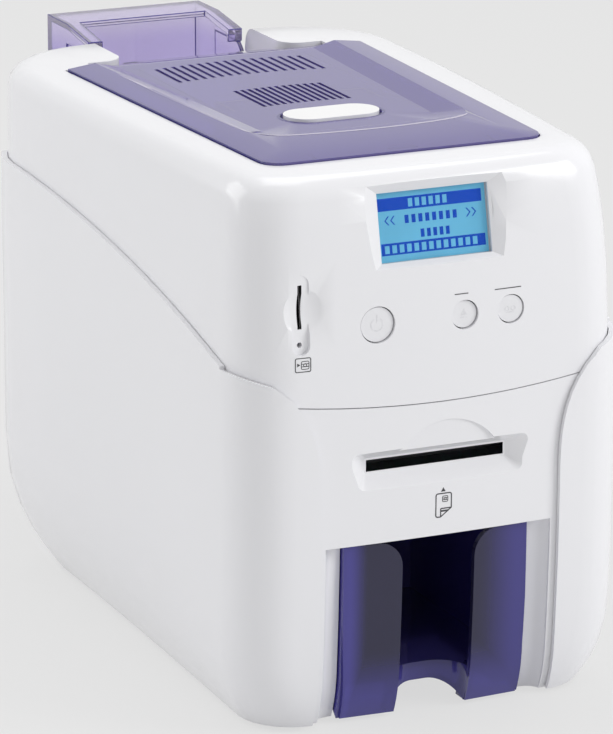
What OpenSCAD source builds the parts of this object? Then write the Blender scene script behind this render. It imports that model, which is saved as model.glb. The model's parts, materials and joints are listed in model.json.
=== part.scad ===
// ID card printer with a hinged see-through lid, a rear input hopper and a
// front output hopper. Millimetres, +Z up, front towards -Y, +X to the right
// as seen from the front. The origin is the middle of the footprint, on the
// surface that the feet stand on. Depths are measured back from the front
// edge of the output opening with fy().

/* [Body] */
// Width across the two side covers
body_w = 173; // [169:0.5:178]
// Height of the rim round the lid
body_h = 214; // [210:0.5:220]
// Depth of the housing, from the output opening to the rear wall
body_d = 259; // [256:0.5:264]
// How far the input hopper reaches behind the output opening
hopper_reach = 307; // [300:0.5:312]
// Wall of the moulded covers
wall = 2.6; // [2.2:0.1:3]
// How far the side covers stand out from the other covers
cover_step = 2.2; // [2:0.1:2.6]
// Wall of the side covers
cover_wall = 1.9; // [1.6:0.1:1.9]
// Height of the seam between the upper cover and the front panel
seam_z = 125.5; // [122:0.5:130]
// Gap at every seam
seam_gap = 0.4; // [0.3:0.1:0.6]

/* [Lid] */
// Half the width of the lid at its front
lid_front_half = 57.5; // [56:0.5:59]
// Half the width of the lid at its rear
lid_rear_half = 64.5; // [63:0.5:66]
// Where the lid starts, behind the output opening
lid_front_d = 27; // [25:0.5:30]
// Where the side strips of the lid end
lid_rear_d = 208; // [205:0.5:210]
// Wall of the lid
lid_wall = 2.4; // [2:0.1:2.6]
// Gap round the lid
lid_gap = 0.6; // [0.5:0.1:0.8]
// Hinge axis of the lid, behind the output opening
hinge_d = 230; // [229:0.5:231]
// Radius of the hinge pins
hinge_r = 2; // [1.8:0.1:2.4]

/* [Card path] */
// Height of the underside of a card on its way
path_z = 102; // [100:0.5:104]
// Width between the faces that guide a card
card_w = 54.6; // [54.2:0.1:55]
// Thickness of a card
card_t = 0.76; // [0.5:0.02:1]
// Radius of the feed rollers
roller_r = 6.5; // [6:0.1:7]
// Radius of the pick roller
pick_r = 7; // [6.8:0.1:7.2]
// Radius of the pinch rollers
pinch_r = 5; // [4.5:0.1:5.5]
// Radius of the roller shafts
shaft_r = 3; // [2.6:0.1:3.2]
// Radial clearance of a running shaft
run_fit = 0.03; // [0.02:0.01:0.06]
// Distance of the front feed roller behind the output opening
front_roll_d = 46; // [46:0.1:47]
// Distance of the platen roller behind the output opening
platen_d = 125; // [124.5:0.1:125.5]
// Distance of the rear feed roller behind the output opening
rear_roll_d = 199; // [198.6:0.1:199.4]
// Distance of the pick roller behind the output opening
pick_d = 236; // [235.6:0.1:236.4]

/* [Inner frame] */
// Half the distance between the inner faces of the frame plates
frame_half = 52.4; // [52:0.1:53]
// Thickness of the frame plates
plate = 1.6; // [1.4:0.1:2]
// Module of the gears
gear_m = 0.8; // [0.8]
// Face width of the gears
gear_w = 5; // [4:0.1:6]

/* [Output hopper] */
// Half the width of the output opening
open_half = 38.7; // [38:0.1:40]
// Height of the top of the output opening
open_z = 73; // [71:0.5:75]
// Half the width of the output hopper
tray_half = 38.2; // [37.6:0.1:38.4]
// Wall of both hoppers
hopper_wall = 2.5; // [2.2:0.1:2.8]

/* [Hidden] */

cover_white = [0.94, 0.94, 0.95];
violet = [0.42, 0.38, 0.72, 0.7];
dark_violet = [0.24, 0.22, 0.5, 0.8];
steel = [0.72, 0.73, 0.75];
black = [0.1, 0.1, 0.11];
gear_white = [0.86, 0.86, 0.82];

mid_half = body_w / 2;
nose_half = mid_half - 5.3;
front_bulge = 3;
cover_edge = 49.5;
front_reach = front_bulge * (1 - pow(cover_edge / nose_half, 2)) + cover_step;
front_y = -(hopper_reach - front_reach) / 2;
function fy(d) = front_y + d;
rear_y = fy(body_d);
arc_steps = 7;

// ---- Outline of the housing ------------------------------------------------

// One half of the outline at a height: front edge, front corner, side, rear corner, rear edge.
function half_ring(front_half, rear_half, y_front, y_rear, front_r, rear_r) = concat(
    [for (i = [0:4])
        let (x = (front_half - front_r) * i / 4)
        [x, y_front + front_bulge * pow(x / front_half, 2)]],
    [for (i = [1:arc_steps])
        let (a = -90 + 90 * i / arc_steps, b = y_front + front_bulge * pow(1 - front_r / front_half, 2))
        [front_half - front_r + front_r * cos(a), b + front_r + front_r * sin(a)]],
    [for (i = [1:7])
        let (t = i / 7, y0 = y_front + front_r + front_bulge * 0.6)
        [front_half + (rear_half - front_half) * sin(90 * t), y0 + (y_rear - rear_r - y0) * t]],
    [for (i = [1:arc_steps])
        let (a = 90 * i / arc_steps)
        [rear_half - rear_r + rear_r * cos(a), y_rear - rear_r + rear_r * sin(a)]],
    [for (i = [1:2]) [(rear_half - rear_r) * (1 - i / 2), y_rear]]);
function mirrored(half) = concat(half,
    [for (i = [len(half) - 2:-1:1]) [-half[i][0], half[i][1]]]);

// Share of the way from one height to another, and the inset of a rounded top edge.
function rise(z, from, to) = max(0, (z - from) / (to - from));
function edge_in(z) = z <= body_h - edge_r ? 0
    : 1 - sqrt(max(0, 1 - pow((z - body_h + edge_r) / edge_r, 2)));
edge_r = 9;
edge_inset = 7;
widest_z = seam_z;
skirt_front_z = 34;
skirt_rear_z = 57;
skirt_front_in = 12;
skirt_rear_in = 22;
shoulder_in = 5.5;
brow_in = 8.5;
brow_z = 100;
toe_in = 5;
heel_in = 4;
heel_z = 20;
corner_front_r = 22;
corner_rear_r = 40;

// How far the front and the rear draw back towards the floor.
function toe(z) = toe_in * pow(rise(z, brow_z, 0), 2) + heel_in * pow(rise(z, heel_z, 0), 2);
// The half outline at a height, pushed out by `proud` and in by `deep`.
function level(z, proud, deep) = half_ring(
    nose_half - cover_step + proud - deep - shoulder_in * pow(rise(z, widest_z, body_h), 3)
        - skirt_front_in * pow(rise(z, skirt_front_z, 0), 2) - edge_inset * edge_in(z),
    mid_half - cover_step + proud - deep - pow(rise(z, widest_z, body_h), 2)
        - skirt_rear_in * pow(rise(z, skirt_rear_z, 0), 2) - edge_inset * edge_in(z),
    fy(-front_bulge) + brow_in * pow(rise(z, brow_z, body_h), 4) + toe(z)
        - proud + deep + edge_inset * edge_in(z),
    rear_y + proud - deep - toe_in * pow(rise(z, skirt_front_z, 0), 2) - edge_inset * edge_in(z),
    corner_front_r, corner_rear_r);

// A solid through outlines with equal numbers of points, one above another.
module loft(heights, rings) {
    n = len(rings[0]);
    m = len(rings);
    polyhedron([for (k = [0:m - 1]) for (p = rings[k]) [p[0], p[1], heights[k]]], concat(
        [[for (i = [0:n - 1]) i]],
        [[for (i = [n - 1:-1:0]) (m - 1) * n + i]],
        [for (k = [0:m - 2]) for (i = [0:n - 1]) each [
            [k * n + i, (k + 1) * n + i, k * n + (i + 1) % n],
            [(k + 1) * n + i, (k + 1) * n + (i + 1) % n, k * n + (i + 1) % n]]]));
}

low_levels = [2, 6, 11, 18, 28, 42, 60, 85, 110, 130, 150, 180];
bore_levels = [for (z = low_levels) z == 2 ? 1 : z == 180 ? 181 : z];
high_levels = [
    110, 130, 150, 168, 184, 196, body_h - edge_r, body_h - 5, body_h - 2.4, body_h - 0.8, body_h];
cap_levels = [for (z = high_levels) z > 200 ? z - wall : z - 1];

// The housing wall below or above, and the thinner wall of a side cover (x > 0).
module low_skin() difference() {
    loft(low_levels, [for (z = low_levels) mirrored(level(z, 0, 0))]);
    loft(bore_levels, [for (z = low_levels) mirrored(level(z, 0, wall))]);
}
module high_skin() difference() {
    loft(high_levels, [for (z = high_levels) mirrored(level(z, 0, 0))]);
    loft(cap_levels, [for (z = high_levels) mirrored(level(z, 0, wall))]);
}
module side_skin() difference() {
    loft(low_levels, [for (z = low_levels) level(z, cover_step, 0)]);
    loft(bore_levels, [for (z = low_levels) level(z, cover_step, cover_wall)]);
}

// Prisms: a profile in Y and Z pushed along X, and one in X and Z pushed along Y.
module along_x(x, length) translate([x, 0, 0]) rotate([90, 0, 90]) linear_extrude(length) children();
module along_y(y, length) translate([0, y + length, 0]) rotate([90, 0, 0])
    linear_extrude(length) children();
module rod(x, d, z, radius, length) translate([x, fy(d), z]) rotate([0, 90, 0])
    cylinder(r = radius, h = length, $fn = 48);
module box(x0, x1, d0, d1, z0, z1) translate([x0, fy(d0), z0]) cube([x1 - x0, d1 - d0, z1 - z0]);
module both_sides() {
    children();
    mirror([1, 0, 0]) children();
}

// ---- Side covers -----------------------------------------------------------

cover_rear_d = 240;
cover_top_rear = 176;
cover_top_front = 143;
// The sweep of the top edge of a side cover, from the front corner to the rear.
function sweep_z(d) = cover_top_front
    + (cover_top_rear - cover_top_front) * (1 - pow(1 - min(1, max(0, (d - 18) / 222)), 2.1));
// The front edge of a side cover, straight up from the floor and then out round the corner.
edge_turn_z = 92;
edge_power = 2.6;
function edge_turn(z) = pow((z - edge_turn_z) / (cover_top_front - edge_turn_z), edge_power);
function edge_x(z) = z < edge_turn_z ? cover_edge
    : cover_edge + (nose_half + 3 - cover_edge) * (1 - sqrt(max(0, 1 - edge_turn(z))));
module front_edge_profile() polygon(concat(
    [[cover_edge, 0]],
    [for (i = [0:10])
        let (z = edge_turn_z + (cover_top_front - edge_turn_z) * i / 10)
        [edge_x(z), z]],
    [[body_w, cover_top_front], [body_w, 0]]));
module sweep_profile() polygon(concat(
    [[fy(18), -5]],
    [for (i = [0:16]) let (d = 18 + (cover_rear_d - 18) * i / 16) [fy(d), sweep_z(d)]],
    [[fy(cover_rear_d), -5]]));
module side_cover() {
    intersection() {
        side_skin();
        union() {
            along_y(fy(-20), 38.01) front_edge_profile();
            along_x(30, 70) sweep_profile();
        }
    }
    for (d = [60, 130, 200]) cover_rib(d);
}
// A locating rib on the inner face of a side cover.
module cover_rib(d) intersection() {
    box(nose_half - 12, nose_half + 8, d, d + 1.6, 62, 66);
    loft([60, 70], [level(60, cover_step, cover_wall / 2), level(70, cover_step, cover_wall / 2)]);
}
module left_side_cover() color(cover_white) mirror([1, 0, 0]) side_cover();
module right_side_cover() color(cover_white) side_cover();

// ---- Upper cover -----------------------------------------------------------

notch_half = 35.2;
notch_front_d = 221;
notch_floor_z = path_z - 6;
lcd_z = 192.2;
lcd_half = 22.7;
lcd_half_h = 13;
lcd_lean = 11.5;
lcd_d = 3.9;
bezel_deep = 4;
button_z = 157.5;
power_x = -26;
eject_x = 9.6;
ribbon_x = 28.8;
big_button_r = 6.6;
small_button_r = 5.2;
button_fit = 0.4;
chip_x = -56.5;
chip_z = 164;
chip_face_d = -0.6;
chip_step = 1.3;
dish_r = 18;
dish_deep = 2.4;
finger_r = 9;

// Outline of the lid, moved inwards by `in`.
module lid_outline(in) polygon(lid_ring(in, 8));
function lid_ring(in, corner) = concat(
    [for (i = [0:6]) let (a = 180 + 90 * i / 6)
        [-(lid_front_half - in - corner) + corner * cos(a), fy(lid_front_d + in + corner) + corner * sin(a)]],
    [for (i = [0:6]) let (a = 270 + 90 * i / 6)
        [lid_front_half - in - corner + corner * cos(a), fy(lid_front_d + in + corner) + corner * sin(a)]],
    [[lid_rear_half - in, fy(lid_rear_d)], [-(lid_rear_half - in), fy(lid_rear_d)]]);

module lcd_place(deep) translate([0, fy(lcd_d + deep), lcd_z]) rotate([90 - lcd_lean, 0, 0]) children();
module pill(length, radius, h) linear_extrude(h) union() {
    square([2 * radius, length - 2 * radius], center = true);
    for (s = [-1, 1]) translate([0, s * (length / 2 - radius)]) circle(r = radius, $fn = 48);
}
front_seam_rise = 4;
function seam_at(x) = seam_z + front_seam_rise * pow(x / 60, 2);
module above_seam(gap) along_y(fy(-30), 330) polygon(concat(
    [for (x = [-100:10:100]) [x, seam_at(min(70, abs(x))) + gap]], [[100, 300], [-100, 300]]));

tongue_half = 30;
tongue_rear_d = 234;
finger_front_d = 216;
swing_gap = 2.6;
lid_floor_half = 51;
module upper_cover() color(cover_white) difference() {
    union() {
        intersection() {
            high_skin();
            above_seam(0);
        }
        // Ledge that the edge of the lid rests on, and the walls beside the hopper notch.
        intersection() {
            union() {
                translate([0, 0, body_h - 10]) linear_extrude(10) difference() {
                    offset(delta = 3) lid_outline(0);
                    lid_outline(3.4);
                }
                both_sides() box(notch_half, notch_half + 2.2, notch_front_d, body_d, seam_z + 6, body_h - 1);
                both_sides() box(notch_half, lid_rear_half, finger_front_d + swing_gap, notch_front_d,
                    body_h - 20, body_h - 1);
                both_sides() finger_tip(0);
                both_sides() rod(notch_half, hinge_d, hinge_z, 5, 6);
                // Backing of the chip card slot.
                box(chip_x - 13, chip_x + 13, -8, 6.5, chip_z - 19, chip_z + 19);
            }
            loft([seam_z, body_h - edge_r, body_h], [
                mirrored(level(seam_z, 0, 1)), mirrored(level(body_h - edge_r, 0, 1)),
                mirrored(level(body_h, 0, 1))]);
        }
        // Frame behind the display.
        lcd_place(0) translate([0, 0, -6]) linear_extrude(6)
            square([2 * lcd_half + 14, 2 * lcd_half_h + 10], center = true);
    }
    // Opening of the lid: a rebate for its edge and a clear way below.
    translate([0, 0, body_h - 7.6]) linear_extrude(20) offset(delta = lid_gap) lid_outline(0);
    translate([0, 0, body_h - 30]) linear_extrude(40) lid_outline(3.4);
    box(-lid_floor_half - 1, lid_floor_half + 1, lid_rear_d - 4, finger_front_d + swing_gap,
        body_h - 9, body_h + 9);
    box(-lid_rear_half - lid_gap, lid_rear_half + lid_gap, lid_rear_d - 6, lid_rear_d + 2,
        body_h - 7.6, body_h + 9);
    // Notch for the input hopper.
    box(-notch_half, notch_half, notch_front_d, body_d + 40, seam_z - 40, body_h + 9);
    box(-tongue_half - lid_gap, tongue_half + lid_gap, lid_rear_d - 4, notch_front_d + 1,
        body_h - 22, body_h + 9);
    both_sides() difference() {
        box(tongue_half, notch_half + finger_r, finger_front_d, finger_front_d + swing_gap + finger_r,
            body_h - 22, body_h + 9);
        finger_tip(9);
    }
    both_sides() rod(notch_half - 1, hinge_d, hinge_z, hinge_r, 9);
    // Display opening with its bevel.
    lcd_place(0) {
        translate([0, 0, -20]) linear_extrude(30) square([2 * lcd_half, 2 * lcd_half_h], center = true);
        translate([0, 0, -3.4]) linear_extrude(1.6)
            square([2 * lcd_half + 2, 2 * lcd_half_h + 2], center = true);
        translate([0, 0, -0.6]) loft([0, bezel_deep + 3], [
            [[-lcd_half, -lcd_half_h], [lcd_half, -lcd_half_h],
                [lcd_half, lcd_half_h], [-lcd_half, lcd_half_h]],
            [[-lcd_half - 11, -lcd_half_h - 6], [lcd_half + 11, -lcd_half_h - 6],
                [lcd_half + 13, lcd_half_h + 8], [-lcd_half - 13, lcd_half_h + 8]]]);
    }
    // Button holes.
    button_hole(power_x, big_button_r);
    button_hole(eject_x, small_button_r);
    button_hole(ribbon_x, small_button_r);
    // Chip card slot: a dish, a channel and the slot itself.
    translate([chip_x, fy(chip_face_d), chip_z]) rotate([90, 0, 0]) {
        translate([0, 2, dish_r - dish_deep]) sphere(r = dish_r, $fn = 96);
        translate([0, 0, -chip_step]) pill(30, 3.5, 30);
        translate([0, 3, -30]) linear_extrude(60) square([1.6, 16.6], center = true);
        translate([0, -11.3, -30]) cylinder(r = 1, h = 60, $fn = 32);
    }
}
// The rounded inner corner of the rim beside the notch, from the rim down.
finger_centre_d = finger_front_d + swing_gap + finger_r;
module finger_tip(above) translate([notch_half + finger_r, fy(finger_centre_d), body_h - 22])
    cylinder(r = finger_r, h = 21 + 2 * above, $fn = 64);
module button_hole(x, radius) translate([x, fy(20), button_z]) rotate([90, 0, 0])
    cylinder(r = radius + button_fit, h = 60, $fn = 64);
hinge_z = body_h - 8.5;

// ---- Front panel -----------------------------------------------------------

slot_z = path_z + 0.1;
slot_half = 28.5;
slot_h = 4.6;
slot_flare = 2;
recess_floor_d = 2.7;
recess_front_d = -2.8;
scoop_deep = 0.5;
scoop_lean = 7;
scoop_r = 24;
column_out = 46.8;
column_deep = 3.2;
column_back = 6.6;
// A rounded four-sided outline: half widths and heights of its top and bottom.
function soft_ring(top_half, top, low_half, low, r) = [for (c = [
    [top_half - r, top - r, 0], [-top_half + r, top - r, 90],
    [-low_half + r, low + r, 180], [low_half - r, low + r, 270]])
    for (i = [0:4]) [c[0] + r * cos(c[2] + 22.5 * i), c[1] + r * sin(c[2] + 22.5 * i)]];
recess_out = soft_ring(37.2, 6.8, 34.6, -8.2, 3);
recess_in = soft_ring(slot_half + 0.7, slot_h / 2 + 0.6, slot_half + 0.7, -slot_h / 2 - 0.6, 0.8);
// The recess outline carried on along its slopes, in front of the panel.
function recess_at(d) = let (t = (recess_floor_d - d) / (recess_floor_d - recess_front_d))
    [for (i = [0:len(recess_in) - 1]) recess_in[i] + t * (recess_out[i] - recess_in[i])];
// A sheet along X that follows the draw of the front towards the floor.
toe_levels = [2, 4, 8, 13, 19, 28, 42, 60];
function toe_line(d, levels) = [for (z = levels) [fy(d + toe(z)), z]];
function turned(list) = [for (i = [len(list) - 1:-1:0]) list[i]];
module toe_sheet(x, length, d, deep, levels) along_x(x, length)
    polygon(concat(toe_line(d, levels), turned(toe_line(d + deep, levels))));
module front_panel() color(cover_white) difference() {
    union() {
        intersection() {
            low_skin();
            union() {
                box(-cover_edge - 4, cover_edge + 4, -20, 16, 2, 150);
                box(-cover_edge - 17, cover_edge + 17, -20, 16, edge_turn_z - 4, 150);
            }
            below_seam();
        }
        // Backing of the slot recess, the columns and the returns beside the output opening.
        box(-slot_half - 12, slot_half + 12, -1, recess_floor_d + wall, slot_z - 11, slot_z + 12);
        both_sides() toe_sheet(open_half, column_out + 1 - open_half, 0.5, column_back - 0.5,
            concat(toe_levels, [open_z + 4]));
        both_sides() along_x(open_half, 2) polygon(concat(
            toe_line(column_deep + 1, concat([6], [for (z = toe_levels) if (z > 6) z], [open_z + 2])),
            [[fy(30), open_z + 2], [fy(30), 6]]));
        box(-open_half - 2, open_half + 2, 4, 30, open_z, open_z + 2);
    }
    // Output opening with its shallow columns.
    box(-open_half, open_half, -20, 40, -1, open_z);
    both_sides() column_cut();
    // Card slot at the bottom of its sloped recess, with a scoop for the thumb above it.
    translate([0, fy(0), slot_z]) rotate([90, 0, 0])
        loft([-recess_floor_d, 8], [recess_at(recess_floor_d), recess_at(-8)]);
    box(-slot_half, slot_half, -1, 20, slot_z - slot_h / 2, slot_z + slot_h / 2);
    translate([0, fy(0), slot_z]) rotate([90, 0, 0])
        loft([-recess_floor_d - wall - 1, -recess_floor_d - 0.4], [slot_ring(slot_flare), slot_ring(0)]);
    intersection() {
        translate([3, fy(-front_bulge) + scoop_deep, slot_z + 16]) rotate([90 + scoop_lean, 0, 0])
            translate([0, -scoop_r, 0]) cylinder(r = scoop_r, h = 20, $fn = 96);
        box(-40, 40, -30, recess_floor_d, slot_z + 3, slot_z + 40);
    }
}
function slot_ring(out) = [
    [-slot_half - out, -slot_h / 2 - out], [slot_half + out, -slot_h / 2 - out],
    [slot_half + out, slot_h / 2 + out], [-slot_half - out, slot_h / 2 + out]];
// The shallow space beside the output opening, curved towards the outer edge.
module column_cut() {
    levels = concat([-1], toe_levels, [open_z]);
    loft(levels, [for (z = levels) let (t = fy(toe(max(z, 0)))) [
        [open_half - 1, t - 20], [column_out, t - 20], [column_out, t - 0.8], [column_out - 1.6, t + 1.6],
        [column_out - 4, t + column_deep - 0.4], [open_half - 1, t + column_deep]]]);
}
module below_seam(length = 80) along_y(fy(-30), length) polygon(concat(
    [for (x = [100:-10:-100]) [x, seam_at(min(70, abs(x))) - seam_gap]],
    [[-100, 0], [100, 0]]));

// ---- Rear panel ------------------------------------------------------------

inlet_x = -21;
inlet_z = 36;
usb_x = 22;
usb_z = 34;
module rear_panel() color(cover_white) difference() {
    union() {
        intersection() {
            low_skin();
            box(-body_w, body_w, cover_rear_d - 8, body_d + 9, 4, seam_z + 10);
            below_seam(330);
        }
        both_sides() box(notch_half, notch_half + 2.2, cover_rear_d + 1, body_d - 1,
            notch_floor_z - 2, seam_z - 2);
    }
    box(-notch_half, notch_half, cover_rear_d - 20, body_d + 20, notch_floor_z, 200);
    // Openings of the sockets, and a field of air slots.
    box(inlet_x - 14, inlet_x + 14, body_d - 20, body_d + 20, inlet_z - 10.5, inlet_z + 10.5);
    box(usb_x - 6.2, usb_x + 6.2, body_d - 20, body_d + 20, usb_z - 5.6, usb_z + 5.6);
    for (i = [-4:4]) box(i * 6 - 1.2, i * 6 + 1.2, body_d - 20, body_d + 20, 60, 84);
}

// ---- Base ------------------------------------------------------------------

tray_z = 3.2;
tray_t = 2;
tray_front_d = 17;
hopper_rear_d = 100;
foot_h = tray_z;
module base_tray() color([0.8, 0.8, 0.82]) difference() {
    union() {
        intersection() {
            translate([0, 0, tray_z]) linear_extrude(tray_t)
                polygon(mirrored(level(tray_z, 0, wall + 0.5)));
            box(-body_w, body_w, tray_front_d, body_d, 0, 20);
        }
        both_sides() box(56, 58, 20, body_d - 50, tray_z, tray_z + 9);
        box(-40, 40, body_d - 16, body_d - 14, tray_z, tray_z + 9);
        for (d = [hopper_rear_d + 6, 150, 182]) box(-52, 52, d, d + 1.6, tray_z, tray_z + 4);
        both_sides() box(open_half + 3, open_half + 4.6, tray_front_d, hopper_rear_d, tray_z, tray_z + 9);
    }
    box(-open_half + 6, open_half - 6, tray_front_d - 1, hopper_rear_d - 30, 0, tray_z + tray_t + 1);
    for (i = [0:9]) box(-30, 30, 118 + i * 7, 121 + i * 7, 0, tray_z + tray_t + 9);
}
module rubber_feet() color(black) both_sides() for (d = [28, body_d - 32])
    translate([52, fy(d), 0]) cylinder(r1 = 6, r2 = 7, h = foot_h, $fn = 48);

// ---- Lid -------------------------------------------------------------------

lid_z = body_h + 0.9;
lid_bottom = body_h - 7.2;
lid_crest = body_h + 2.3;
tray_floor = body_h;
lid_button_gap = 1.1;
strip_w = 11.5;
slope_w = 9.5;
button_d = 96;
button_half = 19.5;
button_r = 9.5;
function tray_ring(in) = concat(
    [for (i = [0:6]) let (a = 180 + 90 * i / 6)
        [-(lid_front_half - in - 12) + 12 * cos(a), fy(lid_front_d + 48 + in - strip_w) + 12 * sin(a)]],
    [for (i = [0:6]) let (a = 270 + 90 * i / 6)
        [lid_front_half - in - 12 + 12 * cos(a), fy(lid_front_d + 48 + in - strip_w) + 12 * sin(a)]],
    [[lid_rear_half - in, fy(lid_rear_d) + 4], [-(lid_rear_half - in), fy(lid_rear_d) + 4]]);
module vents(count, pitch, d, length, fan) for (i = [0:count - 1])
    let (x = (i - (count - 1) / 2) * pitch)
    translate([x, fy(d) + fan * (1 - pow(2 * x / (count * pitch), 2)), 0])
        translate([-0.8, -length / 2, body_h - 12]) cube([1.6, length, 20]);
module top_lid() color(violet) difference() {
    union() {
        difference() {
            loft([lid_bottom, lid_z, lid_crest], [lid_ring(0, 8), lid_ring(0, 8), lid_ring(strip_w, 4)]);
            loft([lid_bottom - 1, lid_z - lid_wall, lid_crest - lid_wall - 0.4],
                [lid_ring(lid_wall, 6), lid_ring(lid_wall, 6), lid_ring(strip_w + 2, 3)]);
            loft([tray_floor, lid_crest + 0.2], [tray_ring(strip_w + slope_w), tray_ring(strip_w - 0.8)]);
        }
        // Floor of the shallow tray, and the tongue that reaches back over the hopper.
        intersection() {
            translate([0, 0, tray_floor - lid_wall]) linear_extrude(lid_wall) lid_outline(strip_w);
            box(-60, 60, lid_front_d + 34, lid_rear_d, 0, 300);
        }
        along_x(-lid_floor_half + 0.6, 2 * lid_floor_half - 1.2) polygon([
            [fy(lid_rear_d - 3), tray_floor], [fy(finger_front_d - 6), tray_floor - 0.3],
            [fy(finger_front_d), tray_floor - 1.2], [fy(finger_front_d), tray_floor - lid_wall - 1.2],
            [fy(lid_rear_d - 3), tray_floor - lid_wall]]);
        along_x(-tongue_half, 2 * tongue_half) polygon([
            [fy(finger_front_d - 4), tray_floor - 0.5], [fy(finger_front_d + 6), tray_floor - 2],
            [fy(tongue_rear_d), tray_floor - 5], [fy(tongue_rear_d), tray_floor - 5 - lid_wall],
            [fy(finger_front_d - 4), tray_floor - lid_wall]]);
        both_sides() rod(tongue_half - 7, hinge_d, hinge_z, 4.2, 7);
        // Stops behind the latch and ribs that stiffen the tray.
        both_sides() box(36, 37.6, lid_front_d + 3, lid_rear_d - 6, lid_bottom + 1, tray_floor - 1);
        box(-6, 6, lid_front_d + 4, lid_front_d + 6.4, lid_bottom - 8, tray_floor - 1);
    }
    both_sides() rod(tongue_half - 8, hinge_d, hinge_z, hinge_r + run_fit, 9);
    vents(17, 3.9, 183, 26, 4);
    vents(13, 3, 132.5, 30, 1.5);
    translate([0, fy(button_d), body_h - 20]) rotate([0, 0, 90])
        pill(2 * (button_half + lid_button_gap), button_r + lid_button_gap, 40);
}
module lid_button() color("white") translate([0, fy(button_d), 0]) rotate([0, 0, 90]) {
    translate([0, 0, tray_floor - lid_wall - 0.6]) pill(2 * button_half, button_r, lid_wall + 1.6);
    translate([0, 0, tray_floor - lid_wall - 1.8]) pill(2 * button_half + 4, button_r + 2, 1.5);
}
module lid_hinge_pins() color(steel) both_sides()
    rod(tongue_half - 5, hinge_d, hinge_z, hinge_r, notch_half - tongue_half + 10);

// ---- Hoppers ---------------------------------------------------------------

hopper_half = 34.6;
side_step = 0.7;
hopper_top = body_h + 1.8;
hopper_front_d = notch_front_d + 1;
plate_d = hopper_reach - 21.5;
rail_d = hopper_front_d + 0.453 * (hopper_reach - hopper_front_d);
rail_w = 6.3;
rail_drop = 3.2;
hook_h = 5.4;
post_d = hopper_front_d + 25;
module hopper_side_profile() polygon([
    [fy(hopper_front_d), notch_floor_z + 1], [fy(hopper_reach), notch_floor_z + 1],
    [fy(hopper_reach), hopper_top], [fy(plate_d), hopper_top],
    [fy(rail_d), hopper_top - rail_drop], [fy(rail_d), hopper_top - rail_drop - hook_h],
    [fy(rail_d - 3.5), hopper_top - rail_drop - hook_h - 3],
    [fy(hopper_front_d + 2), hopper_top - 60], [fy(hopper_front_d), hopper_top - 70]]);
module input_hopper() color(violet) difference() {
    union() {
        both_sides() along_x(hopper_half - hopper_wall, hopper_wall) hopper_side_profile();
        // Rear wall, top plate, rails along the top with their hooks, the floor and the card posts.
        box(-hopper_half, hopper_half, hopper_reach - hopper_wall, hopper_reach,
            notch_floor_z + 1, hopper_top);
        box(-hopper_half, hopper_half, plate_d, hopper_reach, hopper_top - hopper_wall, hopper_top);
        both_sides() along_x(hopper_half - rail_w, rail_w) polygon([
            [fy(plate_d), hopper_top], [fy(rail_d), hopper_top - rail_drop],
            [fy(rail_d), hopper_top - rail_drop - hook_h],
            [fy(rail_d + 1.8), hopper_top - rail_drop - hook_h],
            [fy(rail_d + 1.8), hopper_top - rail_drop - hopper_wall],
            [fy(plate_d), hopper_top - hopper_wall]]);
        box(-hopper_half, hopper_half, hopper_front_d, hopper_reach, path_z - hopper_wall, path_z);
        both_sides() box(card_w / 2, hopper_half, post_d, post_d + 3, path_z - 1, hopper_top - 20);
    }
    // The side walls stand back a little between the rear box and the front.
    both_sides() box(hopper_half - side_step, hopper_half + 1, hopper_front_d - 1, plate_d,
        path_z + 20, hopper_top - rail_drop - hook_h);
    // Ways for the pick roller and its shaft, open to the front.
    box(-15, 15, hopper_front_d - 5, plate_d, 0, path_z + 1);
    box(-hopper_half - 1, hopper_half + 1, hopper_front_d - 5, pick_d + shaft_r + 1,
        0, pick_z + shaft_r + 0.8);
}

flange_top = open_z - 0.6;
flange_gap = 15;
flange_r = 10;
flange_d = -2.1;
flange_sweep = 2.8;
flange_low_sweep = 1.2;
flange_taper = 1.2;
taper_z = 40;
lip_r = 12;
lip_d = 4;
lip_z = 9.5;
lip_top = 16.5;
hopper_floor = tray_z + tray_t;
flange_levels = concat(toe_levels, [flange_top]);
low_toe = [2, 4, 8, 13, lip_top];
function flange_edge(z) =
    flange_d + flange_low_sweep + (flange_sweep - flange_low_sweep) * z / flange_top + toe(z);
function flange_half(z) = tray_half - flange_taper * max(0, 1 - z / taper_z);
// A flange of the output hopper, leaning back towards the floor and outwards.
module flange() intersection() {
    loft(flange_levels, [for (z = flange_levels)
        let (t = fy(flange_d + toe(z)), edge = fy(flange_edge(z)), half = flange_half(z)) [
            [flange_gap, t], [half, edge], [half, edge + hopper_wall], [flange_gap, t + hopper_wall]]]);
    along_y(fy(-20), 50) polygon(concat(
        [[flange_gap, 2], [tray_half, 2], [tray_half, flange_top]],
        [for (i = [0:8]) let (a = 90 + 90 * i / 8)
            [flange_gap + flange_r + flange_r * cos(a), flange_top - flange_r + flange_r * sin(a)]]));
}
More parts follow.
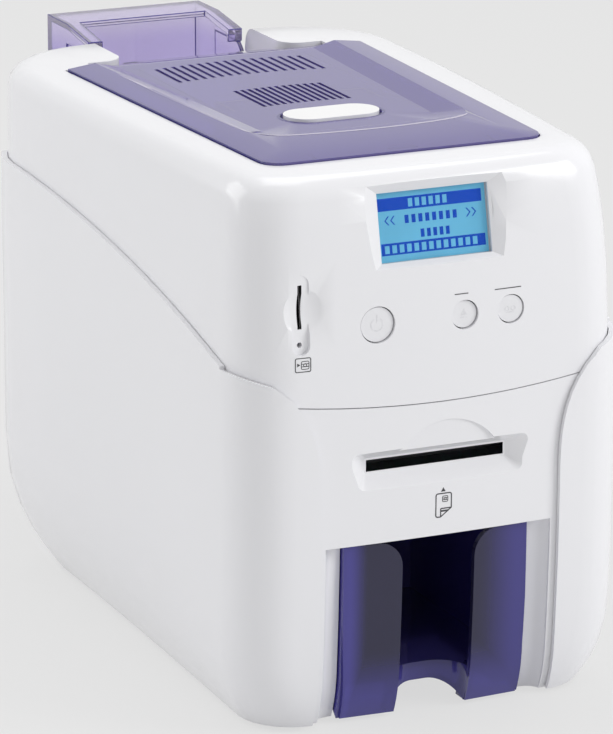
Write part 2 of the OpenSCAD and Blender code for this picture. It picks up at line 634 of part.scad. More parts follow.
// The opening for the fingers in the floor, open to the front.
module finger_bay(out, above = 0) translate([0, fy(lip_d), 0]) linear_extrude(lip_top + above) union() {
    for (s = [-1, 1]) translate([3 * s, 0]) circle(r = lip_r + out, $fn = 64);
    translate([-lip_r - 3 - out, -30]) square([2 * (lip_r + 3 + out), 30]);
    translate([-3, 0]) square([6, lip_r + out]);
}
module output_hopper() color(dark_violet) difference() {
    union() {
        both_sides() flange();
        both_sides() along_x(tray_half - hopper_wall, hopper_wall) polygon(concat(
            [for (z = flange_levels) [fy(flange_edge(z) + 1), z]],
            [[fy(30), flange_top], [fy(30), flange_top - 12], [fy(hopper_rear_d), flange_top - 12],
                [fy(hopper_rear_d), hopper_floor], [fy(21), hopper_floor],
                [fy(21), lip_z], [fy(16), lip_z]]));
        // Floor with the lip round the finger opening, and the rear wall.
        box(-tray_half, tray_half, lip_d + 6, hopper_rear_d, lip_top - hopper_wall, lip_top);
        intersection() {
            finger_bay(hopper_wall);
            box(-flange_gap - hopper_wall, flange_gap + hopper_wall, -10, lip_d + lip_r + hopper_wall,
                0, lip_top);
            along_x(-tray_half, 2 * tray_half) polygon(concat(
                toe_line(flange_d + 0.8, low_toe),
                [[fy(30), lip_top], [fy(30), lip_z], [fy(lip_d + lip_r), lip_z]]));
        }
        box(-tray_half, tray_half, hopper_rear_d - hopper_wall, hopper_rear_d, hopper_floor, 40);
        both_sides() toe_sheet(flange_gap, hopper_wall, flange_d + 1, 7, low_toe);
    }
    finger_bay(0, 5);
}

// ---- Display, buttons and chip card slot -----------------------------------

module lcd_window() color([0.45, 0.7, 0.85]) lcd_place(0) translate([0, 0, -3.2])
    linear_extrude(1.4) square([2 * lcd_half + 1.6, 2 * lcd_half_h + 1.6], center = true);
module lcd_module() color([0.2, 0.4, 0.3]) lcd_place(0) {
    translate([0, 0, -6.1]) linear_extrude(2.6)
        square([2 * lcd_half - 0.4, 2 * lcd_half_h - 0.4], center = true);
    translate([0, 0, -7.6]) linear_extrude(1.6)
        square([2 * lcd_half + 12, 2 * lcd_half_h + 8], center = true);
}
press = 1;
face_d = -1.2;
board_d = 12;
module push_button(x, radius) color("white") translate([x, 0, button_z]) {
    translate([0, fy(face_d) + 5, 0]) rotate([90, 0, 0]) cylinder(r = radius, h = 5, $fn = 64);
    translate([0, fy(face_d) + 6, 0]) rotate([90, 0, 0]) cylinder(r = radius + 1.2, h = 1.2, $fn = 64);
    translate([0, fy(board_d) - press - 0.2, 0]) rotate([90, 0, 0])
        cylinder(r = 2, h = board_d - face_d - 6, $fn = 32);
}
module power_button() push_button(power_x, big_button_r);
module eject_button() push_button(eject_x, small_button_r);
module ribbon_button() push_button(ribbon_x, small_button_r);
module button_board() color([0.1, 0.4, 0.25]) {
    box(power_x - 12, ribbon_x + 12, board_d + 1, board_d + 2.6, button_z - 9, button_z + 9);
    for (x = [power_x, eject_x, ribbon_x])
        box(x - 3, x + 3, board_d, board_d + 1, button_z - 3, button_z + 3);
    both_sides() box(-40, -36, board_d + 1, board_d + 2.6, button_z - 5, button_z + 5);
}
module chip_reader() color(black) difference() {
    box(chip_x - 5, chip_x + 5, 14, 42, chip_z - 10, chip_z + 14);
    box(chip_x - 0.8, chip_x + 0.8, 13, 38, chip_z - 7, chip_z + 11);
}

// ---- Inner frame -----------------------------------------------------------

roll_z = path_z - roller_r - 0.1;
pick_z = path_z + 0.3 - pick_r;
pinch_z = path_z + card_t + pinch_r - 0.1;
clean_d = 172;
clean_r = 6.5;
clean_z = path_z + card_t + clean_r - 0.1;
spool_z = 140;
takeup_d = 62;
supply_d = 170;
bush_r = 5;
bush_flange = 6.6;
rod_r = 2.5;
frame_windows = [40, 72, 128, 196];
rod_places = [[32, 84], [120, 30], [222, 66], [100, 84], [205, 122]];
module frame_profile() difference() {
    polygon([
        [fy(22), hopper_floor], [fy(232), hopper_floor], [fy(232), 60], [fy(250), 72], [fy(250), 108],
        [fy(216), 108], [fy(216), 132], [fy(190), 132], [fy(184), 158], [fy(48), 158],
        [fy(36), 118], [fy(22), 112]]);
    for (d = frame_windows)
        polygon([[fy(d), 16], [fy(d + 24), 16], [fy(d + 24), 34], [fy(d + 18), 44], [fy(d), 44]]);
    polygon([[fy(92), 130], [fy(112), 130], [fy(112), 150], [fy(96), 150]]);
    polygon([[fy(118), 130], [fy(142), 130], [fy(138), 150], [fy(118), 150]]);
    for (p = shaft_places) translate([fy(p[0]), p[1]]) circle(r = bush_r, $fn = 48);
    for (p = rod_places) translate([fy(p[0]), p[1]]) circle(r = rod_r - 0.8, $fn = 48);
    for (p = spool_places) translate([fy(p[0]), p[1]]) circle(r = 6, $fn = 48);
}
shaft_places = [
    [front_roll_d, roll_z], [platen_d, roll_z], [rear_roll_d, roll_z], [pick_d, pick_z],
    [front_roll_d, pinch_z], [rear_roll_d, pinch_z], [clean_d, clean_z]];
spool_places = [[takeup_d, spool_z], [supply_d, spool_z]];
module left_frame() color(steel) difference() {
    along_x(-frame_half - plate, plate) frame_profile();
    for (p = pin_places) rod(-frame_half - plate - 1, p[0], p[1], pin_r, plate + 2);
    rod(-frame_half - plate - 1, pinion_at[0], pinion_at[1], 5, plate + 2);
}
module right_frame() color(steel) along_x(frame_half, plate) frame_profile();
module tie_rods() color(steel) for (p = rod_places) {
    rod(-frame_half, p[0], p[1], rod_r, 2 * frame_half);
    rod(-frame_half - plate - 1, p[0], p[1], rod_r - 0.8, 2 * (frame_half + plate + 1));
}
module bush(x) for (p = shaft_places) difference() {
    union() {
        rod(x, p[0], p[1], bush_r, plate);
        rod(x > 0 ? x - 1.2 : x + plate, p[0], p[1], p[1] > path_z ? 5.4 : bush_flange, 1.2);
    }
    rod(x - 3, p[0], p[1], (p[1] > path_z ? pinch_shaft_r : shaft_r) + run_fit, plate + 6);
}
pinch_shaft_r = 2;
module shaft_bushes() color([0.75, 0.6, 0.35]) {
    bush(-frame_half - plate);
    bush(frame_half);
}
guide_t = 1.6;
guide_half = frame_half - 1.6;
module card_guide() color([0.3, 0.3, 0.32]) difference() {
    union() {
        box(-guide_half, guide_half, 12, 219, path_z - guide_t - 0.3, path_z - 0.3);
        both_sides() box(card_w / 2, card_w / 2 + 2, 12, 219, path_z - guide_t, path_z + card_t + 0.3);
        both_sides() for (d = [58, 98, 152, 212]) box(30, frame_half, d, d + 1.6, path_z - 9, path_z - 1);
    }
    for (d = [front_roll_d, platen_d, rear_roll_d]) box(-31, 31, d - 9, d + 9, path_z - 5, path_z + 5);
    for (d = [70, 160]) box(-14, 14, d, d + 22, path_z - 5, path_z + 5);
}

// ---- Rollers ---------------------------------------------------------------

shaft_out = frame_half + plate + 1.2;
module drive_roller(d, z, radius, half) {
    rod(-gear_x - gear_w - 0.6, d, z, shaft_r, gear_x + gear_w + 0.6 + shaft_out);
    rod(-half, d, z, radius, 2 * half);
}
module front_roller() color(black) drive_roller(front_roll_d, roll_z, roller_r, 24);
module platen_roller() color(black) drive_roller(platen_d, roll_z, roller_r, 29);
module rear_roller() color(black) drive_roller(rear_roll_d, roll_z, roller_r, 24);
module pick_roller() color([0.35, 0.35, 0.37]) {
    drive_roller(pick_d, pick_z, pick_r - 2, 12);
    rod(-11, pick_d, pick_z, pick_r, 22);
}
module top_roller(d, z, radius, half) {
    rod(-shaft_out, d, z, pinch_shaft_r, 2 * shaft_out);
    rod(-half, d, z, radius, 2 * half);
}
module front_pinch_roller() color(steel) top_roller(front_roll_d, pinch_z, pinch_r, 24);
module rear_pinch_roller() color(steel) top_roller(rear_roll_d, pinch_z, pinch_r, 24);
module cleaning_roller() color([0.75, 0.45, 0.2]) top_roller(clean_d, clean_z, clean_r, 26.5);

// ---- Gears -----------------------------------------------------------------

gear_x = frame_half + plate + 1.2;
roll_teeth = 24;
front_idler_teeth = 76;
rear_idler_teeth = 70;
pick_idler_teeth = 24;
pick_teeth = 26;
pinion_teeth = 16;
takeup_teeth = 40;
backlash = 0.16;
pressure = 20;
function pitch_r(teeth) = gear_m * teeth / 2;
function inv(a) = tan(a) * 180 / PI - a;
// One flank and the whole outline of an involute gear with a tooth at angle 0.
function flank_angle(teeth, r) = let (base = pitch_r(teeth) * cos(pressure))
    90 / teeth - backlash / 2 / pitch_r(teeth) * 180 / PI + inv(pressure)
        - (r > base ? inv(acos(base / r)) : 0);
function gear_radii(teeth) = let (r = pitch_r(teeth), base = r * cos(pressure),
    foot = r - 1.25 * gear_m, start = max(base, foot))
    [foot, start, start + (r + gear_m - start) / 3, start + 2 * (r + gear_m - start) / 3, r + gear_m];
module gear_outline(teeth) polygon([for (t = [0:teeth - 1]) each concat(
    [for (r = gear_radii(teeth))
        let (a = 360 * t / teeth - flank_angle(teeth, r))
        r * [cos(a), sin(a)]],
    [for (i = [4:-1:0])
        let (r = gear_radii(teeth)[i], a = 360 * t / teeth + flank_angle(teeth, r))
        r * [cos(a), sin(a)]])]);
// Centre of a gear at distances a and b from two others, above or below their line.
function between(p, q, a, b, side) = let (v = q - p, l = norm(v), s = (a * a - b * b + l * l) / (2 * l),
    h = sqrt(max(0, a * a - s * s))) p + v * s / l + side * h * [-v[1], v[0]] / l;
function bearing(p, q) = atan2(q[1] - p[1], q[0] - p[0]);
// Angle that puts gear q's gap on the tooth of gear p.
function meshed(turn, teeth_p, teeth_q, toward) =
    toward + 180 - 360 / teeth_q * ((turn - toward) * teeth_p / 360 + 0.5);

front_at = [front_roll_d, roll_z];
platen_at = [platen_d, roll_z];
rear_at = [rear_roll_d, roll_z];
pick_at = [pick_d, pick_z];
function reach(a, b) = pitch_r(a) + pitch_r(b);
front_span = reach(roll_teeth, front_idler_teeth);
rear_span = reach(roll_teeth, rear_idler_teeth);
front_idler_at = between(front_at, platen_at, front_span, front_span, 1);
rear_idler_at = between(platen_at, rear_at, rear_span, rear_span, -1);
pick_idler_at = between(rear_at, pick_at,
    reach(roll_teeth, pick_idler_teeth), reach(pick_teeth, pick_idler_teeth), -1);
pinion_bearing = -64;
pinion_at = rear_idler_at
    + reach(rear_idler_teeth, pinion_teeth) * [cos(pinion_bearing), sin(pinion_bearing)];
platen_turn = 0;
front_idler_turn = meshed(platen_turn, roll_teeth, front_idler_teeth, bearing(platen_at, front_idler_at));
front_turn = meshed(front_idler_turn, front_idler_teeth, roll_teeth, bearing(front_idler_at, front_at));
rear_idler_turn = meshed(platen_turn, roll_teeth, rear_idler_teeth, bearing(platen_at, rear_idler_at));
rear_turn = meshed(rear_idler_turn, rear_idler_teeth, roll_teeth, bearing(rear_idler_at, rear_at));
pinion_turn = meshed(rear_idler_turn, rear_idler_teeth, pinion_teeth, pinion_bearing);
pick_idler_turn = meshed(rear_turn, roll_teeth, pick_idler_teeth, bearing(rear_at, pick_idler_at));
pick_turn = meshed(pick_idler_turn, pick_idler_teeth, pick_teeth, bearing(pick_idler_at, pick_at));

pin_r = 2.5;
pin_places = [front_idler_at, rear_idler_at, pick_idler_at];
// A gear at a place on the left of the frame, with a bore and holes that lighten its web.
module gear(at, teeth, turn, bore, holes)
    translate([-gear_x, fy(at[0]), at[1]]) rotate([90, 0, 90]) mirror([0, 0, 1]) difference() {
        linear_extrude(gear_w) rotate(turn) gear_outline(teeth);
        translate([0, 0, -1]) cylinder(r = bore, h = gear_w + 2, $fn = 48);
        if (holes > 0) for (i = [0:holes - 1])
            rotate(turn + 360 * i / holes) translate([pitch_r(teeth) * 0.58, 0, -1])
                cylinder(r = pitch_r(teeth) * 0.2, h = gear_w + 2, $fn = 48);
    }
module front_gear() color(gear_white) gear(front_at, roll_teeth, front_turn, shaft_r, 0);
module platen_gear() color(gear_white) gear(platen_at, roll_teeth, platen_turn, shaft_r, 0);
module rear_gear() color(gear_white) gear(rear_at, roll_teeth, rear_turn, shaft_r, 0);
module pick_gear() color(gear_white) gear(pick_at, pick_teeth, pick_turn, shaft_r, 0);
module front_idler() color(gear_white)
    gear(front_idler_at, front_idler_teeth, front_idler_turn, pin_r + run_fit, 6);
module rear_idler() color(gear_white)
    gear(rear_idler_at, rear_idler_teeth, rear_idler_turn, pin_r + run_fit, 6);
module pick_idler() color(gear_white)
    gear(pick_idler_at, pick_idler_teeth, pick_idler_turn, pin_r + run_fit, 0);
module idler_pins() color(steel) for (p = pin_places) {
    rod(-gear_x - gear_w - 1.4, p[0], p[1], pin_r, gear_w + 2.6 + plate);
    rod(-gear_x - gear_w - 1.8, p[0], p[1], pin_r + 1.5, 1.2);
}
motor_shaft_r = 1.5;
module motor_pinion() color([0.8, 0.65, 0.3]) {
    gear(pinion_at, pinion_teeth, pinion_turn, motor_shaft_r - 0.5, 0);
    rod(-gear_x - gear_w - 0.6, pinion_at[0], pinion_at[1], motor_shaft_r,
        gear_x + gear_w + 0.6 - motor_face + 20);
}
motor_half = 17.5;
motor_l = 26;
motor_face = frame_half - 0.01;
module feed_motor() color(black) difference() {
    union() {
        box(-motor_face, -motor_face + motor_l, pinion_at[0] - motor_half, pinion_at[0] + motor_half,
            pinion_at[1] - motor_half, pinion_at[1] + motor_half);
        rod(-frame_half - plate - 0.4, pinion_at[0], pinion_at[1], 4.6, plate + 1);
    }
    rod(-gear_x - gear_w - 1, pinion_at[0], pinion_at[1], motor_shaft_r + run_fit,
        gear_x + gear_w + 1 - motor_face + 21);
}

// ---- Ribbon and head -------------------------------------------------------

side_in = 44.5;
side_t = 2.4;
spool_stub = 4;
core_r = 8;
supply_film_r = 13;
takeup_film_r = 10.5;
spool_half = 40;
film_t = 0.3;
dip_z = path_z + card_t + 0.6;
nose_z = dip_z + film_t + 0.35;
bar_front_d = 98;
bar_rear_d = 150;
bar_r = 2.5;
bar_z = dip_z + film_t + 0.2 + bar_r;
module cassette_side() difference() {
    polygon([
        [fy(takeup_d - 16), spool_z + 14], [fy(takeup_d - 16), spool_z - 10],
        [fy(takeup_d - 6), bar_z + 10], [fy(bar_front_d - 5), bar_z - 3.4],
        [fy(bar_front_d + 5), bar_z - 3.4], [fy(bar_front_d + 5), spool_z - 16],
        [fy(bar_rear_d - 5), spool_z - 16], [fy(bar_rear_d - 5), bar_z - 3.4],
        [fy(bar_rear_d + 5), bar_z - 3.4], [fy(supply_d + 4), bar_z + 12],
        [fy(supply_d + 16), spool_z - 10], [fy(supply_d + 16), spool_z + 14]]);
    for (p = spool_places) translate([fy(p[0]), p[1]]) circle(r = spool_stub + run_fit, $fn = 48);
    polygon([[fy(bar_front_d - 12), spool_z - 8], [fy(bar_rear_d + 2), spool_z - 8],
        [fy(bar_rear_d - 4), spool_z + 8], [fy(bar_front_d - 6), spool_z + 8]]);
}
module ribbon_cassette() color([0.25, 0.25, 0.28]) {
    both_sides() along_x(side_in, side_t) cassette_side();
    both_sides() box(side_in + side_t, frame_half, takeup_d - 10, takeup_d - 4, spool_z + 8, spool_z + 12);
    both_sides() box(side_in + side_t, frame_half, supply_d + 4, supply_d + 10, spool_z + 8, spool_z + 12);
    for (d = [bar_front_d, bar_rear_d]) rod(-side_in, d, bar_z, bar_r, 2 * side_in);
    box(-side_in, side_in, takeup_d - 16, takeup_d - 13, spool_z + 4, spool_z + 14);
    box(-side_in, side_in, supply_d + 13.6, supply_d + 16, spool_z + 4, spool_z + 14);
}
module spool(d, film_r) {
    rod(-side_in - side_t - 1, d, spool_z, spool_stub, 2 * (side_in + side_t + 1));
    rod(-side_in + 0.6, d, spool_z, core_r, 2 * side_in - 1.2);
    rod(-spool_half, d, spool_z, film_r, 2 * spool_half);
}
module supply_spool() color([0.15, 0.1, 0.3]) spool(supply_d, supply_film_r);
module takeup_spool() color([0.15, 0.1, 0.3]) spool(takeup_d, takeup_film_r);
// The ribbon runs from the supply spool under both bars to the take-up spool.
function web(o) = [
    [fy(takeup_d + takeup_film_r + 0.6), spool_z - 1], [fy(bar_front_d - bar_r - 1.6), bar_z + 1],
    [fy(bar_front_d - 2), dip_z], [fy(bar_rear_d + 2), dip_z],
    [fy(bar_rear_d + bar_r + 1.6), bar_z + 1], [fy(supply_d - supply_film_r - 0.6), spool_z - 6]][o];
function web_lift(i) = film_t * [i < 2 ? 0.9 : i > 3 ? -0.9 : 0, i < 2 || i > 3 ? 0.4 : 1];
module ribbon_film() color([0.1, 0.1, 0.2]) along_x(-spool_half, 2 * spool_half) polygon(concat(
    [for (i = [0:5]) web(i)],
    [for (i = [5:-1:0]) web(i) + web_lift(i)]));

hub_x = frame_half + plate;
ribbon_pinion_at = [takeup_d, spool_z - reach(takeup_teeth, pinion_teeth)];
module right_gear(at, teeth, turn, bore)
    translate([hub_x + 1.2, fy(at[0]), at[1]]) rotate([90, 0, 90]) difference() {
        linear_extrude(gear_w) rotate(turn) gear_outline(teeth);
        translate([0, 0, -1]) cylinder(r = bore, h = gear_w + 2, $fn = 48);
    }
module takeup_gear() color(gear_white) {
    right_gear([takeup_d, spool_z], takeup_teeth, 0, 3);
    rod(side_in + side_t + 1.4, takeup_d, spool_z, 6 - 0.05, hub_x + 1.2 - side_in - side_t - 1.4);
    rod(hub_x, takeup_d, spool_z, 3, gear_w + 2);
}
module ribbon_pinion() color([0.8, 0.65, 0.3]) {
    right_gear(ribbon_pinion_at, pinion_teeth, meshed(0, takeup_teeth, pinion_teeth, -90),
        motor_shaft_r - 0.5);
    rod(hub_x + 0.6, ribbon_pinion_at[0], ribbon_pinion_at[1], motor_shaft_r, gear_w + 10);
}
cover_room = 8.2;
module ribbon_motor() color(steel) difference() {
    union() {
        rod(hub_x + gear_w + 2, ribbon_pinion_at[0], ribbon_pinion_at[1], 11,
            nose_half - cover_room - hub_x - gear_w - 2);
        box(hub_x, hub_x + gear_w + 6, ribbon_pinion_at[0] - 16, ribbon_pinion_at[0] - 8.6,
            ribbon_pinion_at[1] - 5, ribbon_pinion_at[1] + 5);
    }
    rod(hub_x - 1, ribbon_pinion_at[0], ribbon_pinion_at[1], motor_shaft_r + run_fit, gear_w + 14);
}
head_half = 32;
module head_bracket() color(steel) difference() {
    union() {
        box(-head_half, head_half, platen_d + 8, platen_d + 9.6, path_z + 18, tray_floor - lid_wall);
        both_sides() box(head_half - 1.6, head_half, platen_d - 8, platen_d + 9,
            path_z + 18, tray_floor - lid_wall);
        box(-head_half, head_half, platen_d - 8, platen_d + 9, path_z + 16.5, path_z + 18.1);
    }
    for (s = [-1, 1]) box(s * 15 - 9, s * 15 + 9, platen_d, platen_d + 20, path_z + 34, tray_floor - 26);
    both_sides() box(head_half - 5, head_half + 5, platen_d - 4, platen_d + 4, path_z + 34, tray_floor - 26);
}
module print_head() color([0.55, 0.56, 0.6]) {
    along_x(-head_half + 2, 2 * head_half - 4) polygon([
        [fy(platen_d - 6), path_z + 16.5], [fy(platen_d - 6), path_z + 7], [fy(platen_d - 1.5), nose_z],
        [fy(platen_d + 1.5), nose_z], [fy(platen_d + 7), path_z + 7], [fy(platen_d + 7), path_z + 16.5]]);
    for (i = [-6:6]) box(i * 4 - 0.6, i * 4 + 0.6, platen_d - 10, platen_d - 5.8, path_z + 8, path_z + 16);
}

// ---- Electronics -----------------------------------------------------------

board_z = 14;
module main_board() color([0.1, 0.4, 0.25]) {
    box(-46, 46, 188, 238, board_z, board_z + 1.6);
    box(-10, 10, 205, 225, board_z + 1.6, board_z + 4);
    for (i = [0:3]) box(-38 + i * 8, -33 + i * 8, 192, 198, board_z + 1.6, board_z + 10);
    both_sides() for (d = [192, 232]) translate([40, fy(d), hopper_floor])
        cylinder(r = 2.4, h = board_z - hopper_floor, $fn = 32);
}
module power_inlet() color(black) difference() {
    union() {
        box(inlet_x - 13.6, inlet_x + 13.6, body_d - 22, body_d - 1.4, inlet_z - 10.1, inlet_z + 10.1);
        box(inlet_x - 16, inlet_x + 16, body_d - 7.8, body_d - 3.6, inlet_z - 12.5, inlet_z + 12.5);
    }
    box(inlet_x - 10.6, inlet_x + 10.6, body_d - 15, body_d + 5, inlet_z - 6.8, inlet_z + 6.8);
}
module usb_socket() color(steel) difference() {
    union() {
        box(usb_x - 6, usb_x + 6, body_d - 18, body_d - 1.4, usb_z - 5.4, usb_z + 5.4);
        box(usb_x - 9, usb_x + 9, body_d - 18, body_d - 3.6, usb_z - 7.5, usb_z + 7.5);
    }
    difference() {
        box(usb_x - 4.2, usb_x + 4.2, body_d - 12, body_d + 5, usb_z - 3.8, usb_z + 3.8);
        box(usb_x - 2.8, usb_x + 2.8, body_d - 14, body_d - 3, usb_z - 1.6, usb_z + 1.6);
    }
}

base_tray();
rubber_feet();
front_panel();
upper_cover();
rear_panel();
left_side_cover();
right_side_cover();
top_lid();
lid_button();
lid_hinge_pins();
input_hopper();
output_hopper();
lcd_window();
lcd_module();
power_button();
eject_button();
ribbon_button();
button_board();
chip_reader();
left_frame();
right_frame();
tie_rods();
card_guide();
shaft_bushes();
front_roller();
platen_roller();
rear_roller();
pick_roller();
front_pinch_roller();
rear_pinch_roller();
cleaning_roller();
front_gear();
platen_gear();
rear_gear();
pick_gear();
front_idler();
rear_idler();
pick_idler();
idler_pins();
motor_pinion();
feed_motor();
ribbon_cassette();
supply_spool();
takeup_spool();
ribbon_film();
takeup_gear();
ribbon_motor();
ribbon_pinion();
head_bracket();
print_head();
main_board();
power_inlet();
usb_socket();
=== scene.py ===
"""Looks of an ID card printer: finishes, display, markings, mechanism details and a studio."""

import json
import math

import bmesh
import bpy
from bpy.props import FloatProperty, FloatVectorProperty, PointerProperty
from mathutils import Matrix, Vector
from mathutils.bvhtree import BVHTree
from mathutils.geometry import interpolate_bezier


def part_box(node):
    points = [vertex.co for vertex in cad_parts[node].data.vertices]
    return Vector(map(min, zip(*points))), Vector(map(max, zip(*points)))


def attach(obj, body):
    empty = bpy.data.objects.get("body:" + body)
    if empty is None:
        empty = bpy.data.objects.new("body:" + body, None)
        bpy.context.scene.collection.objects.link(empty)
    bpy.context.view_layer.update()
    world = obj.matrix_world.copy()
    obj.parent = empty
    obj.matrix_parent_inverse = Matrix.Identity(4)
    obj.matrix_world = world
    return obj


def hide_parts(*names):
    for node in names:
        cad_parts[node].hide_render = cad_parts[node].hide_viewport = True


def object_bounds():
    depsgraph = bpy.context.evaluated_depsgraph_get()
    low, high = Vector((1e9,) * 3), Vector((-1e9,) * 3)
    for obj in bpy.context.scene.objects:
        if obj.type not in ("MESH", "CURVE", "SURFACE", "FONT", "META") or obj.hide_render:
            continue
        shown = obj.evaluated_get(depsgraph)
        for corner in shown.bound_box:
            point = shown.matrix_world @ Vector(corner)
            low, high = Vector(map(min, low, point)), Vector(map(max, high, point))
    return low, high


bl_info = {
    "name": "Card Printer Looks",
    "version": (1, 0, 0),
    "blender": (4, 5, 0),
    "location": "View3D > Sidebar > Card Printer",
    "description": "Dresses the packed model of an ID card printer",
    "category": "Object",
}

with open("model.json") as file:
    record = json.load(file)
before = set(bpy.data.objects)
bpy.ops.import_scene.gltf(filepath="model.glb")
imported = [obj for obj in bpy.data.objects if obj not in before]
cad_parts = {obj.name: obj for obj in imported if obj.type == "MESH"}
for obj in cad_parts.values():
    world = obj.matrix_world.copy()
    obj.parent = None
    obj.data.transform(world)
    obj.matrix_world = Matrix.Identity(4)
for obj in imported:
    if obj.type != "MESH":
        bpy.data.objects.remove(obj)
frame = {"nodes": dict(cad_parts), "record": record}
cad_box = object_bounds()
NODES = frame["nodes"]
BODY_OF = {node: body for body, nodes in frame["record"]["behaviour"]["bodies"].items() for node in nodes}
# Rays that find a surface start this far outside the part, and flat shapes are drawn this far above the lid.
RAY_START = 0.05
DRAWN_ABOVE = 0.02


# ---- Settings ---------------------------------------------------------------


def colour(name, description, default):
    return FloatVectorProperty(name=name, description=description, subtype="COLOR", size=3, min=0, max=1,
                               default=default)


def length(name, description, default):
    return FloatProperty(name=name, description=description, unit="LENGTH", precision=4, min=0,
                         default=default)


def angle(name, description, degrees):
    return FloatProperty(name=name, description=description, subtype="ANGLE", default=math.radians(degrees))


class PrinterColours(bpy.types.PropertyGroup):
    """Colours of the printer's materials."""

    cover: colour("Covers", "White of the moulded covers", (0.86, 0.86, 0.885))
    lid: colour("Lid", "Tint of the see-through lid", (0.2, 0.165, 0.48))
    # Painted light: a paler tint painted along the lid's rear strip, for light shining through it from
    # behind.
    lid_painted_light: colour("Lid edge", "Paler tint along the rear of the lid", (0.5, 0.46, 0.7))
    # Painted highlight: a pale strip painted along the fillet of the lid's tray, where it catches the light.
    bead: colour("Lid bead", "Pale bead along the tray of the lid", (0.58, 0.54, 0.7))
    hopper: colour("Input hopper", "Tint of the see-through input hopper", (0.66, 0.58, 0.93))
    # Painted light: a paler tint painted on the input hopper above the housing, for light shining through it
    # from behind.
    hopper_painted_light: colour("Input hopper top", "Paler tint of its rear box", (0.84, 0.78, 0.99))
    # Painted shade: a darker violet painted on the edges and steep walls of the clear parts and round the lid
    # button, where they look darker.
    painted_shade: colour("Rims", "Edges of the violet parts, where light gathers", (0.05, 0.038, 0.28))
    tray: colour("Output hopper", "Tint of the smoked output hopper", (0.026, 0.024, 0.074))
    # Painted light: a lighter, bluer tint painted on the output hopper's sides and foot, for light shining
    # through them.
    tray_painted_light: colour("Output hopper sides", "Bluer tint of its sides and foot", (0.09, 0.078, 0.4))
    # Painted shade: a darker tint painted on the rounded edges of the output hopper.
    tray_painted_shade: colour("Output hopper rims", "Edges of the output hopper", (0.03, 0.024, 0.3))
    button: colour("Lid button", "White of the lid button", (0.92, 0.92, 0.92))
    display: colour("Display", "Backlight of the display", (0.12, 0.38, 0.56))
    pixel: colour("Pixels", "Dark pixels of the display", (0.006, 0.05, 0.4))
    ink: colour("Ink", "Printed markings", (0.045, 0.045, 0.05))
    board: colour("Circuit board", "Solder resist of the circuit boards", (0.015, 0.12, 0.05))
    nylon: colour("Gears", "Natural nylon of the gears", (0.78, 0.76, 0.68))
    steel: colour("Steel", "Zinc-plated sheet steel", (0.56, 0.57, 0.59))
    rubber: colour("Rubber", "Roller tyres and feet", (0.018, 0.018, 0.02))
    dark: colour("Dark plastic", "Guides and inner mouldings", (0.02, 0.02, 0.023))
    base: colour("Base", "Grey of the base tray", (0.42, 0.42, 0.44))
    mark: colour("Button marks", "Pale print on the front buttons", (0.6, 0.6, 0.62))
    window: colour("Window", "Clear window of the display", (0.97, 0.99, 1.0))
    shaft: colour("Shafts", "Ground steel of rods, pins and pinch rollers", (0.62, 0.63, 0.65))
    brass: colour("Pinions", "Cut brass", (0.72, 0.5, 0.2))
    bronze: colour("Bushes", "Sintered bronze", (0.48, 0.31, 0.15))
    tacky: colour("Cleaning roller", "Tacky rubber", (0.42, 0.12, 0.03))
    motor: colour("Feed motor", "Enamel of its case", (0.012, 0.012, 0.014))
    wound: colour("Wound ribbon", "Film on both spools", (0.03, 0.012, 0.09))
    head: colour("Print head", "Aluminium", (0.5, 0.51, 0.53))
    contact: colour("Contacts", "Nickel of the power inlet's contacts", (0.66, 0.64, 0.58))
    screw: colour("Screws", "Zinc of the screw heads", (0.6, 0.61, 0.63))


class PrinterSizes(bpy.types.PropertyGroup):
    """Sizes of the details that this script adds."""

    edge: length("Edge radius", "Rounding of the moulded edges", 0.0005)
    display_lean: angle("Display lean", "How far the display leans back", 11.5)
    # Width of the painted highlight strip on the lid.
    bead: length("Bead", "Width of the bead on the lid", 0.0017)
    ink_lift: length("Ink thickness", "How far a printed marking stands out", 0.00006)
    stroke: length("Stroke", "Line width of the printed markings", 0.0005)


class StudioSettings(bpy.types.PropertyGroup):
    """Camera, lights and floor."""

    aim: FloatVectorProperty(name="Aim", description="Point in the middle of the picture", size=3,
                             subtype="XYZ", unit="LENGTH", default=(-0.0296, -0.0977, 0.1272))
    azimuth: angle("Azimuth", "How far round to the left the camera stands", 24.39)
    elevation: angle("Elevation", "How far the camera looks down", 16.13)
    distance: length("Distance", "From the camera to the aim", 1.7989)
    lens: FloatProperty(name="Lens", description="Focal length in millimetres", default=232.3)
    world: FloatProperty(name="World", description="Strength of the even light", default=0.54)
    floor: colour("Floor", "Colour of the floor", (0.78, 0.78, 0.78))
    backdrop: colour("Backdrop", "Colour that the camera sees behind the printer", (0.791, 0.791, 0.791))
    shadow: FloatProperty(name="Shadow", description="Share of the floor's own light and shadow",
                          min=0, max=1, default=0.16)


# ---- Shader maths -----------------------------------------------------------


